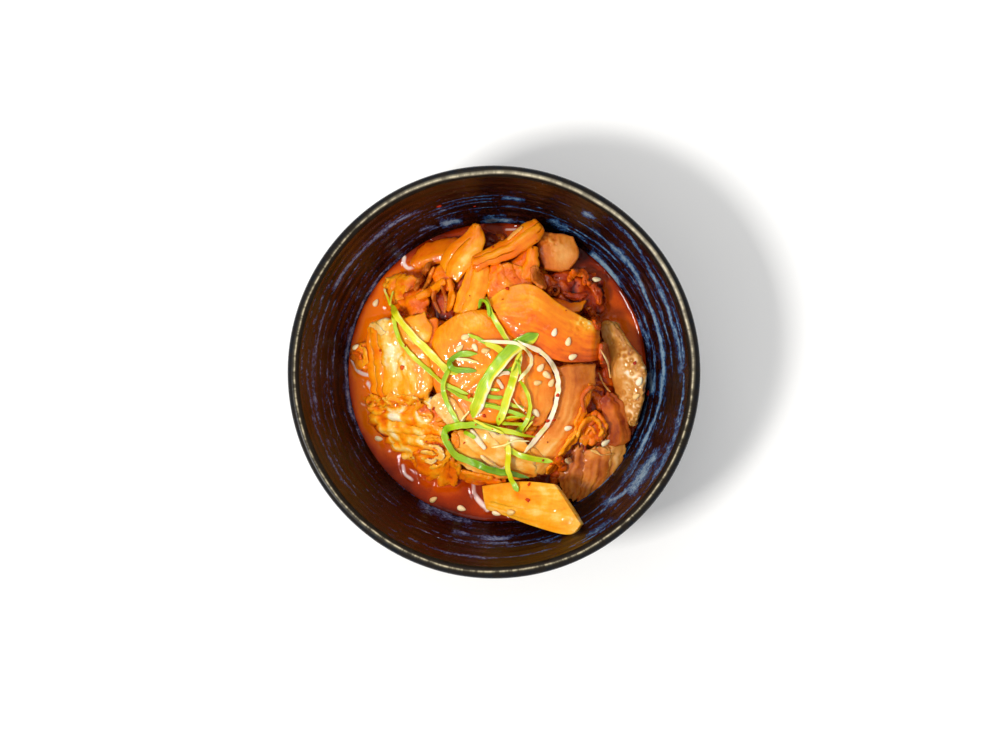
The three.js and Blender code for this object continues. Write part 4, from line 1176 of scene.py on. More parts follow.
        left=[[28.5, -5, 28.6], [28.5, -14.5, 28]],
        right=[[35.5, -4, 28], [36, -13, 27]],
        thick=1.4, crown=-0.8, crinkle=0.3, ragged=0.3, seed=112,
        tone=0.3, tone_noise=0.05, tone_across=-0.1,
    ),
    "low_hollow": dict(
        left=[[23, -22, 27.6], [22, -31, 26.6]],
        right=[[30, -21, 27.6], [30, -28.5, 26.6]],
        thick=1.4, crown=-0.8, crinkle=0.3, ragged=0.3, seed=113,
        tone=0.26, tone_noise=0.05,
    ),
    "right_stem": dict(
        left=[[20, 2.5, 37], [21, -4, 36.4], [20, -12, 35.5], [16.5, -19, 34.5], [11.5, -24.5, 32.5], [6, -30.5, 30]],
        right=[[33.5, 3.5, 33], [32.5, -4.5, 31.8], [29, -13.5, 31], [26, -21.5, 29.6], [22, -26.5, 28.6], [15, -35, 26.6]],
        thick=2.8, crown=1.6, crinkle=0.06, size=8, ragged=0.3, round=0.15, seed=81, fibre_depth=0.03,
        tone=0.6, tone_fibre=0.05, tone_along=0.08, tone_noise=0.06, tan=(0.36, -0.2, 0), flesh=stem_flesh,
        spots=[
            (0.12, 0.5, 0.12, 0.4, -0.06), (0.85, 0.4, 0.2, 0.5, 0.14), (0.4, 0.3, 0.3, 0.06, 0.1),
            (0.55, 0.7, 0.4, 0.06, -0.08), (0.6, 0.5, 0.4, 0.05, 0.1), (0.3, 0.85, 0.4, 0.08, 0.08),
        ],
    ),
    "fan_tail": dict(
        left=[[23, -26, 27], [21.5, -34, 25.2], [21, -41.5, 23.8]],
        right=[[33, -25, 27.4], [31.5, -34, 25.6], [26.5, -45, 23.2]],
        thick=1.0, crown=0.4, ribs=4, rib_depth=0.15, fray=2.4, ragged=0.8, seed=114, fibre_depth=0.15,
        tone=0.45, tone_rib=0.04, tone_fibre=0.1, tone_noise=0.08, tan=(0.6, 0.1, 0.1), flesh=stem_flesh,
    ),
    "fan_tail_mid": dict(
        left=[[29.5, -25, 27.6], [29, -34, 25.8], [26, -43.5, 23.8]],
        right=[[38.5, -24, 27.2], [37.5, -33, 25.6], [33, -43, 23]],
        thick=1.0, crown=0.4, ribs=4, rib_depth=0.15, fray=2.4, ragged=0.8, seed=115, fibre_depth=0.15,
        tone=0.48, tone_rib=0.04, tone_fibre=0.1, tone_noise=0.08, tan=(0.6, 0.1, 0.1), flesh=stem_flesh,
        spots=[(0.1, 0.5, 0.2, 0.4, 0.08)],
    ),
    "fan_tail_right": dict(
        left=[[35.5, -23.5, 27.2], [34.5, -31.5, 26], [31, -39.5, 24.6]],
        right=[[44, -22.5, 25.6], [42.5, -30, 24.4], [37, -41, 22.8]],
        thick=1.0, crown=0.3, ribs=3, rib_depth=0.15, fray=2.2, ragged=0.8, seed=116, fibre_depth=0.15,
        tone=0.47, tone_rib=0.04, tone_fibre=0.1, tone_noise=0.08, tone_across=0.02, tan=(0.85, 0.0, 0.1),
        flesh=stem_flesh,
    ),
    "fan_upper": dict(
        left=[[33.5, -8.5, 28.4], [35.5, -14, 28.8], [36.5, -19.5, 28.4], [37, -25, 27]],
        right=[[38.5, -6, 28], [42.5, -11, 27.2], [44.8, -17.5, 26.2], [44, -24.5, 25.2]],
        thick=1.4, crown=0.5, ribs=2, rib_depth=0.25, ragged=0.6, seed=111, fibre_depth=0.06, flesh=stem_flesh,
        tone=0.31, tone_along=0.05, tone_fibre=0.08, tone_noise=0.1, tan=(0.4, 0.1, 0.2),
        folds=[(0.2, 0.45, 0.95, 0.5, 0.6, 0.4, 0.08), (0.1, 0.75, 0.9, 0.75, 0.7, -0.25, -0.04)],
    ),
    "fan_curl": dict(
        left=[[26.5, -17.5, 30.4], [29, -14.5, 31], [32.5, -13, 31.2], [35.5, -15, 30.8], [37, -19, 30]],
        right=[[27, -21.5, 29.6], [29, -23.5, 29.4], [32, -24.5, 29.2], [34.5, -23, 29], [36.5, -21.5, 29]],
        thick=1.6, crown=1.0, frill=0.8, waves=4, crinkle=0.5, crease=0.5, size=2.6, ragged=0.7, seed=201,
        tone=0.54, tone_crease=0.12, tone_noise=0.06,
    ),
    "left_curl": dict(
        left=[[-49, 9, 22.8], [-49.5, 5, 22.8], [-47, 0.5, 22.6]],
        right=[[-44, 10.5, 25.4], [-42, 7, 26.2], [-41.5, 1.5, 25.4]],
        thick=1.8, crown=1.4, frill=0.5, waves=3, crinkle=0.4, crease=0.4, size=2.4, ragged=0.5, seed=211,
        tone=0.54, tone_crease=0.12, tone_noise=0.1,
    ),
    "brown_bit": dict(
        left=[[-5.5, 46.5, 23], [-5.5, 43.5, 24.8], [-3.5, 40.5, 25.2]],
        right=[[-2.5, 47, 23], [0.5, 44, 24.6], [0, 40.5, 24.8]],
        thick=3.0, crown=1.2, crinkle=0.3, crease=0.3, size=2.4, ragged=0.4, round=0.5, seed=231,
        tone=0.24, tone_crease=0.1, tone_noise=0.08, tan=(0.25, 0, 0),
    ),
}  # fmt: skip

add_sheets(HEAP_PIECES, leaf_flesh, "cabbage", "kimchi_heap")
print("pieces of the heap:", len(HEAP_PIECES), "highest, mm:", round(food_top.max(), 1))

# %% [markdown]
# ## Folds, curls and torn edges
# The last small forms lie on the pieces: ribs that stand up in a crumpled leaf, nested folds, a frayed
# margin, beads and curls. Each is a ribbon along a short path, at the height that the map gives.

# %% Small folds
SMALL_FOLDS = {
    "rib_a": dict(path=[[-22, 36.5], [-24.5, 32.5], [-27, 27]], wide=2.0, lift=0.9, thick=1.5, tone=0.42, tan=(0.5, 0, 0)),
    "rib_b": dict(path=[[-20.5, 35], [-22.5, 31], [-24.5, 27]], wide=1.4, lift=0.5, thick=1.2, tone=0.55, tan=(0.2, 0, 0)),
    "fold_low": dict(path=[[-26.5, 24.5], [-21.5, 27], [-16.5, 30.5]], wide=3.0, lift=0.6, thick=1.6, tone=0.62, crown=0.8),
    "hollow_rib_a": dict(path=[[-20.5, 27], [-20.5, 23.5], [-18.5, 19.5]], wide=1.3, lift=0.5, thick=1.1, tone=0.4, tan=(0.55, 0, 0)),
    "hollow_rib_b": dict(path=[[-18, 28.5], [-16.5, 24], [-17, 19.5]], wide=1.4, lift=0.7, thick=1.2, tone=0.46, tan=(0.5, 0, 0)),
    "hollow_wall": dict(path=[[-15.5, 31], [-14.5, 25.5], [-15.5, 20]], wide=2.0, lift=1.0, thick=1.4, tone=0.58),
    "glint_flap": dict(
        path=[[-42.5, 15.5], [-39.5, 15], [-37, 12.5]], wide=2.4, lift=0.1, thick=0.8, tone=0.86,
        crinkle=0.3, tan=(0.2, 0, 0), ragged=0.6,
    ),
    "curl_edge": dict(
        path=[[-46, 9], [-44, 7], [-43.8, 4], [-45, 2]], wide=1.2, lift=0.2, thick=0.9, tone=0.74,
        ragged=0.6, crinkle=0.3, size=2,
    ),
    "curl_bead": dict(path=[[-48.5, 6.5], [-46.5, 6], [-45.5, 4]], wide=1.6, lift=0.3, thick=1.3, tone=0.45),
    "flange": dict(path=[[4, 43.5], [6.5, 46], [9, 48]], wide=1.3, lift=0.0, thick=0.7, tone=0.72, tan=(0.3, 0, 0)),
    "petal": dict(
        path=[[12.5, 35], [14, 31], [16.5, 27.5]], wide=4.4, lift=0.1, thick=1.2, crown=0.8, tone=0.42,
        tan=(0.5, 0, 0), ragged=0.5, crinkle=0.2, taper=(0.8, 0.3),
    ),
    "ruffle_a": dict(path=[[24, 30], [26, 33], [29.5, 32.5], [29.5, 29]], wide=2.6, lift=0.6, thick=1.4, tone=0.4, frill=0.5, crinkle=0.3, size=2),
    "ruffle_b": dict(path=[[30.5, 30], [33.5, 27], [34.5, 22.5]], wide=2.6, lift=0.5, thick=1.4, tone=0.3, frill=0.4, crinkle=0.3, size=2),
    "ruffle_c": dict(path=[[22, 26.5], [26, 25], [30.5, 26]], wide=2.2, lift=0.5, thick=1.4, tone=0.3, frill=0.4, crinkle=0.3, size=2),
    "bead_ring": dict(path=[[18, 26.5], [18.6, 28.2], [20.4, 28.2], [20.6, 26.4], [19.2, 25.6]], wide=1.1, lift=0.7, thick=1.1, tone=0.34, tan=(0.3, 0, 0)),
    "gap_strand": dict(path=[[30.5, 21.5], [32.5, 18.5], [34, 14]], wide=2.4, lift=0.3, thick=1.4, tone=0.3, frill=0.3),
    "red_tongue": dict(path=[[35.5, 10], [36, 4], [36.5, -2]], wide=3.4, lift=0.4, thick=1.6, crown=0.8, tone=0.28, tan=(0.1, 0, 0)),
    "bright_line_a": dict(
        path=[[34.5, 7.5], [37, 3], [38, -2]], wide=0.6, lift=0.3, thick=0.5, tone=0.76, tan=(0.5, 0, 0),
    ),
    "bright_line_b": dict(
        path=[[34, 0], [35.5, -3.5], [38, -6.5]], wide=0.5, lift=0.3, thick=0.5, tone=0.7, tan=(0.5, 0, 0),
    ),
    "margin": dict(path=[[31, -4.5], [28.5, -13], [26.5, -20.5], [22, -27], [16.5, -34.5]], wide=2.4, lift=0.3, thick=1.2, tone=0.6, frill=0.3, waves=7, ragged=0.6, crinkle=0.2),
    "margin_edge": dict(path=[[27, -19], [24, -23.5], [20.5, -28]], wide=1.1, lift=0.5, thick=0.9, tone=0.7, ragged=0.3),
    "clump_a": dict(path=[[20, -28.5], [22, -30.5], [21.5, -33]], wide=3.0, lift=0.5, thick=1.6, tone=0.41, crinkle=0.5, crease=0.4, size=1.8, ragged=0.5),
    "clump_b": dict(path=[[23.5, -28.5], [24.5, -30.5]], wide=1.6, lift=0.4, thick=1.4, tone=0.74, tan=(0.7, 0, 0)),
    "hollow_rim": dict(path=[[29.5, -13.5], [28.5, -8.5], [31.5, -5], [35.5, -6]], wide=1.7, lift=0.6, thick=1.4, tone=0.36, tan=(0.2, 0, 0)),
    "curl_rim": dict(path=[[27, -21.5], [28.5, -17.5], [32, -15.5], [35, -18], [34, -21.5]], wide=1.5, lift=0.5, thick=1.3, tone=0.66, frill=0.3, waves=5, ragged=0.4),
    "curl_heart": dict(path=[[29.5, -21], [31.5, -18.5], [33, -20.5]], wide=1.4, lift=0.5, thick=1.2, tone=0.58),
    "pale_strand": dict(
        path=[[31, -26], [34.5, -27.2], [39, -27.6]], wide=0.8, lift=0.2, thick=0.6, tone=0.84, tan=(0.2, 0, 0),
        taper=(1.0, 0.4), ragged=0.4,
    ),
    "c_outer": dict(
        path=[[-24, -22], [-18.5, -22.5], [-15.5, -26], [-17, -30], [-22.5, -31.5]], wide=1.9, lift=0.4,
        thick=1.1, tone=0.74, ragged=0.7, crinkle=0.3, size=2,
    ),
    "c_middle": dict(
        path=[[-24.5, -24.3], [-20, -24.8], [-18, -27], [-19.5, -29.2], [-24, -29.4]], wide=1.6, lift=0.4,
        thick=1.0, tone=0.84, tan=(0.1, 0, 0), ragged=0.6, crinkle=0.3, size=2,
    ),
    "c_inner": dict(
        path=[[-25, -26.7], [-21.5, -26.8], [-20.5, -27.6]], wide=1.3, lift=0.4, thick=1.0, tone=0.76, ragged=0.4,
    ),
    "pale_fold": dict(path=[[-8, -18.8], [-6, -22], [-3.2, -25.5]], wide=2.0, lift=0.4, thick=1.3, tone=0.99, tan=(0.15, 0, 0)),
    "pale_curl": dict(path=[[-5, -27.5], [-1.5, -30.5], [1.5, -32.5], [4, -31.5]], wide=1.8, lift=0.5, thick=1.4, tone=0.95, tan=(0.2, 0, 0), crinkle=0.2, size=2),
    "orange_end": dict(
        path=[[-13, -20], [-12.5, -25.5]], wide=3.2, lift=0.0, thick=0.8, tone=0.64, crinkle=0.3, ragged=0.8,
    ),
    "seam_left": dict(
        path=[[-44.5, -8.5], [-40, -9.3], [-35, -10.5]], wide=3.2, lift=0.3, thick=1.0, tone=0.64, frill=0.5,
        waves=4, ragged=0.9, crinkle=0.4, crease=0.3, size=2, tone_crease=0.16,
    ),
    "seam_middle": dict(
        path=[[-37, -9.2], [-31, -8.8], [-24.5, -10.5]], wide=3.6, lift=0.3, thick=1.0, tone=0.76, frill=0.5,
        waves=5, ragged=0.9, crinkle=0.4, crease=0.3, size=2, tone_crease=0.16,
    ),
    "seam_right": dict(
        path=[[-26.5, -9.5], [-24, -12.5], [-21.5, -15.5]], wide=2.8, lift=0.3, thick=1.0, tone=0.7, frill=0.4,
        waves=3, ragged=0.8, crinkle=0.4, crease=0.3, size=2, tone_crease=0.16,
    ),
    "orange_lip": dict(path=[[-12, -33], [-7, -34.5], [-1, -35.5]], wide=1.8, lift=0.5, thick=1.3, tone=0.64, frill=0.3, ragged=0.5),
}  # fmt: skip
SMALL_FOLDS = {name: dict(look, seed=900 + 9 * k) for k, (name, look) in enumerate(SMALL_FOLDS.items())}
add_sheets(SMALL_FOLDS, leaf_flesh, "cabbage", "kimchi_heap", "leaf_folds", 0.3)
print("small folds:", len(SMALL_FOLDS))

# %% [markdown]
# ## The broth
# The red broth fills the bowl up to its level, round the foot of the heap. It climbs a little where it
# touches the wall and the food, and those small slopes are what catch the light as bright crescents. A
# pale painted highlight is laid along the same slopes as well. The distance to the food comes from the
# height map: it starts at zero on the food and grows cell by cell. The broth's colour is deep and brown at
# the wall and red-orange where it is open. Painted shade makes it darker to the right and towards the near
# and the far side.

# %% Broth
CLIMB = 0.9
CLIMB_REACH = 1.2
BROTH_COLUMNS = 780
BROTH_ROWS = 110
SHINES = [
    ([[-31.3, 38.9], [-31.5, 36.8], [-30, 35.1], [-27.4, 35.7], [-24.4, 37.7]], 1.0),
    ([[-48.9, 4.1], [-47.6, 1.1], [-45.3, -0.6], [-42.6, -1.2]], 1.0),
    ([[-43.6, -3.8], [-42, -6.6], [-40.2, -8.7]], 1.2),
    ([[-37, -19.1], [-35.4, -22.6], [-31.6, -25.9], [-27.2, -28.5]], 1.6),
    ([[-31.9, -31.6], [-31.1, -34.4], [-28.7, -36.3]], 1.0),
    ([[-8, -37.5], [-7.3, -41.8], [-3.3, -46.3]], 1.3),
    ([[-11.9, -33.6], [-7.6, -34.3], [-1.1, -36.2]], 0.8),
    ([[3.1, 48.1], [6.4, 48.1]], 0.8),
    ([[35.4, 7.7], [37.3, 3.9], [38.7, 0.6]], 0.8),
]
SHINE_SLOPE = 0.34
PAINTED_HIGHLIGHT_SHARE = 0.7


def near_path(path, x, y, wide):
    """A bell of the distance to the nearest point of a path: exp(-(distance / wide)^2)."""
    line = through(path, np.linspace(0, 1, 30))
    gap = np.min([np.hypot(x - a, y - b) for a, b in line], axis=0)
    return np.exp(-((gap / wide) ** 2))


def distance_to(mask, reach=24):
    """Distance in mm from each cell to the nearest marked one: every pass lets each cell take the smaller
    of its own value and a neighbour's value plus one step, straight or diagonal."""
    distance = np.where(mask, 0.0, reach * MAP_STEP)
    for _ in range(reach):
        padded = np.pad(distance, 1, mode="edge")
        for a, b in ((0, 1), (1, 0), (1, 2), (2, 1), (0, 0), (0, 2), (2, 0), (2, 2)):
            step = MAP_STEP * math.hypot(a - 1, b - 1)
            distance = np.minimum(distance, padded[a : a + MAP_CELLS, b : b + MAP_CELLS] + step)
    return distance


def add_broth():
    """A ring-shaped body. Its top runs from inside the heap's outline to the wall, at the level plus
    climb * exp(-distance / reach) for the wall and for the food, plus a bell along each path that shines.
    Its underside follows the bowl."""
    to_food = distance_to(widened(food_top) > BROTH_LEVEL + 0.4)
    angle = np.linspace(0, 2 * math.pi, BROTH_COLUMNS, endpoint=False)[None, :]
    share = np.linspace(0, 1, BROTH_ROWS)[:, None]
    inner = heap_radius(angle) - 8
    outer = wall_radius(BROTH_LEVEL) + 0.25
    radius = inner + (outer - inner) * (1 - (1 - share) ** 1.3)
    radius, angle = np.broadcast_arrays(radius, angle)
    x, y = radius * np.cos(angle), radius * np.sin(angle)
    near_food = read_map(to_food, x, y)
    near_wall = outer - radius
    patches = smooth(-0.2, 0.5, noise(x / 5 + 30, y / 5 + 30, 7))
    z = BROTH_LEVEL - 0.1 + CLIMB * (0.35 + 0.65 * patches) * np.exp(-near_food / CLIMB_REACH)
    z = z + 0.7 * np.exp(-near_wall / 0.9) + 0.02 * rough(x / 3, y / 3, 8)
    # film marks a painted highlight: pale colour laid along the shining slopes in the place of the light's reflection.
    film = 0 * x
    for path, wide in SHINES:
        z = z + SHINE_SLOPE * wide * near_path(path, x, y, wide)
        film = np.maximum(film, near_path(path, x, y, PAINTED_HIGHLIGHT_SHARE * wide))
    film = film * (0.8 + 0.4 * noise(x / 2, y / 2, 10))
    # Painted shade: the broth's colour is darkened to the right and towards the near and the far side.
    painted_light_level = 1.0 - 0.38 * smooth(-12, 34, x) - 0.58 * smooth(12, 38, -y) - 0.6 * smooth(28, 44, y)
    shade = smooth(-2.2, 2.8, near_wall) * painted_light_level + 0.1 * (1 - smooth(0, 4, near_food))
    shade = shade + 0.1 * rough(x / 8 + 50, y / 8 + 50, 9)
    rows, tones = [np.stack([x, y, z], axis=-1)], [shade]
    for share_in, level in ((1.0, 21.0), (0.97, 19.6), (0.5, None), (0.0, None)):
        ring = inner + (outer - 0.6 - inner) * share_in
        base = np.interp(ring, *np.array(INNER_WALL).T) + 0.3 if level is None else level + 0 * ring
        under = np.stack([ring * np.cos(angle[0]), ring * np.sin(angle[0]), base], axis=-1)
        rows.append(under.reshape(1, -1, 3))
        tones.append(np.full((1, BROTH_COLUMNS), 0.2))
    points, tone = np.concatenate(rows), np.concatenate(tones)
    ids = np.arange(tone.size).reshape(tone.shape)
    ids = np.concatenate([ids, ids[:1]])
    flat = points.reshape(-1, 3)
    film = np.pad(film, ((0, len(tone) - len(film)), (0, 0)))
    values = {"shade": tone.ravel(), "film": film.ravel()}
    return add_mesh("red_broth", flat, grid_faces(ids, wrap=True), values, flat[:, :2] / 10)


def broth_material():
    graph = Graph("red_broth")
    place = graph.place()
    cloud = graph.noise(place, 240.0, 4.0, 0.6)
    motes = graph.noise(place, 2200.0, 2.0, 0.5)
    shade = graph.math("MULTIPLY_ADD", graph.math("SUBTRACT", cloud, 0.5), 0.25, graph.attribute("shade"))
    shade = graph.math("MULTIPLY_ADD", graph.math("SUBTRACT", motes, 0.5), 0.12, shade)
    stops = [(0.0, "2E0800"), (0.2, "641400"), (0.45, "A83200"), (0.7, "DA5600"), (0.95, "F47400")]
    # Painted highlight: the colour goes pale pink where film is high.
    film = graph.ramp(graph.attribute("film"), [(0.25, 0.0), (0.75, 0.9)])
    return graph.finish(
        Base_Color=graph.mix(film, graph.ramp(shade, stops), linear("FFE6DA")),
        Roughness=0.05,
        IOR=1.34,
        Specular_IOR_Level=0.28,
        Subsurface_Weight=0.2,
        Subsurface_Radius=(1.0, 0.2, 0.05),
        Subsurface_Scale=0.003,
        Normal=graph.bump(cloud, 0.0001),
    )


broth = finish_piece(add_broth(), broth_material(), "broth", "broth")
print("broth faces:", len(broth.data.polygons))

# %% [markdown]
# ## Sesame seeds
# A sesame seed is a flat drop, blunt at one end and pointed at the other. One seed is worked out as a
# sphere of points whose width shrinks towards the tip, and all seeds are copies of it in one joined mesh.
# Each copy is turned as listed, then tilted to the slope of the food under it, which the map gives.

# %% Seeds
SEEDS = [
    (-9.5, 11.5, 20), (-6.5, 8, -60), (-11.5, 8, 40), (-3, 7, 10),
    (19.5, 13, 70), (24, 10, 75), (25.5, 5, 20), (15, 1.5, 50), (17, -1, -40), (14, -3.5, 10), (18.5, -3.5, 60),
    (13.5, -13.5, -50), (24, -18.5, 10), (36.5, -23.5, 20), (47.5, -3, 60), (46.5, -8, 30), (33.5, 31, 10),
    (-40, -22.5, 5), (-47.3, 8.5, 20), (-41, 23.5, 60),
    (-21.5, -43, 30), (-12, -46, -20), (0, -47.2, 0), (5, -46.5, 10),
]  # fmt: skip
SEED_SIZE = np.array([3.1, 1.9, 1.2]) / 2


def drop_shape(rings=12, sides=14):
    """A unit sphere whose width at x is sqrt(1 - x^2) * (1 - 0.35 x), so the far end is a blunt point."""
    x = -np.cos(np.linspace(0.12, math.pi - 0.08, rings))[:, None]
    angle = (np.arange(sides) + 0.5)[None, :] * 2 * math.pi / sides
    width = np.sqrt(1 - x**2) * (1 - 0.35 * x)
    points = np.stack(np.broadcast_arrays(x, width * np.cos(angle), width * np.sin(angle)), axis=-1)
    ids = np.arange(rings * sides).reshape(rings, sides)
    return points.reshape(-1, 3), np.concatenate([grid_faces(ids, wrap=True), cap(ids[0]), cap(ids[-1])[:, ::-1]])


def cap(ring):
    """Closes a ring of points with a strip of four-sided faces from its upper to its lower half."""
    half = len(ring) // 2
    k = np.arange(half - 1)
    return ring[np.stack([k, k + 1, len(ring) - 2 - k, len(ring) - 1 - k], axis=1)]


def scatter(shape, faces, places, turns, sizes, lift, seed):
    """Lays copies of a shape on the food: each stands on the map and is tilted to the map's slope."""
    x, y = places.T
    ground = widened(food_top)
    slope_x = (read_map(ground, x + 1, y) - read_map(ground, x - 1, y)) / 2
    slope_y = (read_map(ground, x, y + 1) - read_map(ground, x, y - 1)) / 2
    up = np.stack([-slope_x, -slope_y, np.full(len(x), 1.4)], axis=1)
    spots = np.column_stack([x, y, read_map(ground, x, y) + lift * sizes[:, 2]])
    return lay(shape, faces, spots, up, turns, sizes, seed)


def lay(shape, faces, spots, up, turns, sizes, seed):
    """Copies of one shape, each scaled, turned round its own up direction and moved to its spot."""
    up = up / np.linalg.norm(up, axis=1, keepdims=True)
    ahead = np.stack([np.cos(turns), np.sin(turns), np.zeros(len(spots))], axis=1)
    ahead -= up * np.einsum("ij,ij->i", up, ahead)[:, None]
    ahead /= np.linalg.norm(ahead, axis=1, keepdims=True)
    axes = np.stack([ahead, np.cross(up, ahead), up], axis=1)
    points = np.einsum("mk,nk,nkj->nmj", shape, sizes, axes) + spots[:, None, :]
    shade = np.random.default_rng(seed).uniform(0, 1, len(spots))
    starts = np.arange(len(spots)) * len(shape)
    values = {"shade": np.repeat(shade, len(shape)), "tip": np.tile(shape[:, 0], len(spots))}
    return points.reshape(-1, 3), (faces[None] + starts[:, None, None]).reshape(-1, 4), values


def add_seeds():
    rng = np.random.default_rng(17)
    table = np.array(SEEDS, float)
    sizes = SEED_SIZE * rng.uniform(0.88, 1.1, (len(table), 1))
    points, faces, values = scatter(*drop_shape(), table[:, :2], np.radians(table[:, 2]), sizes, 0.55, 18)
    raise_map(points)
    return add_mesh("sesame_seeds", points, faces, values, points[:, :2] / 10)


def seed_material():
    graph = Graph("toasted_sesame")
    grain = graph.noise(graph.place(), 2600.0, 3.0)
    tint = graph.math("MULTIPLY_ADD", grain, 0.5, graph.math("MULTIPLY", graph.attribute("shade"), 0.5))
    pale = graph.ramp(tint, [(0.15, "E9B45C"), (0.45, "F8D694"), (0.8, "FFF0CE")])
    tip = graph.ramp(graph.attribute("tip"), [(0.6, 0.0), (1.0, 0.45)])
    colour = graph.mix(tip, pale, linear("B87030"))
    normal = graph.bump(grain, 0.00006)
    return graph.finish(
        Base_Color=colour, Roughness=0.42, Normal=normal, Subsurface_Weight=0.1, Subsurface_Scale=0.001
    )


seeds = finish_piece(add_seeds(), seed_material(), "sesame")
print("seeds:", len(SEEDS))

# %% [markdown]
# ## Scallion
# Scallion cut lengthwise gives long thin shreds that curl and twist. Each one is a flat strip carried along
# a path that is given from above. Its height is draped: it starts on the map and is lifted, again and again,
# to the mean of its two neighbours wherever that is higher, so it bridges small dips like a stiff blade.
# The strips are hollowed a little across, as the leaf of a scallion is, and they roll from side to side.

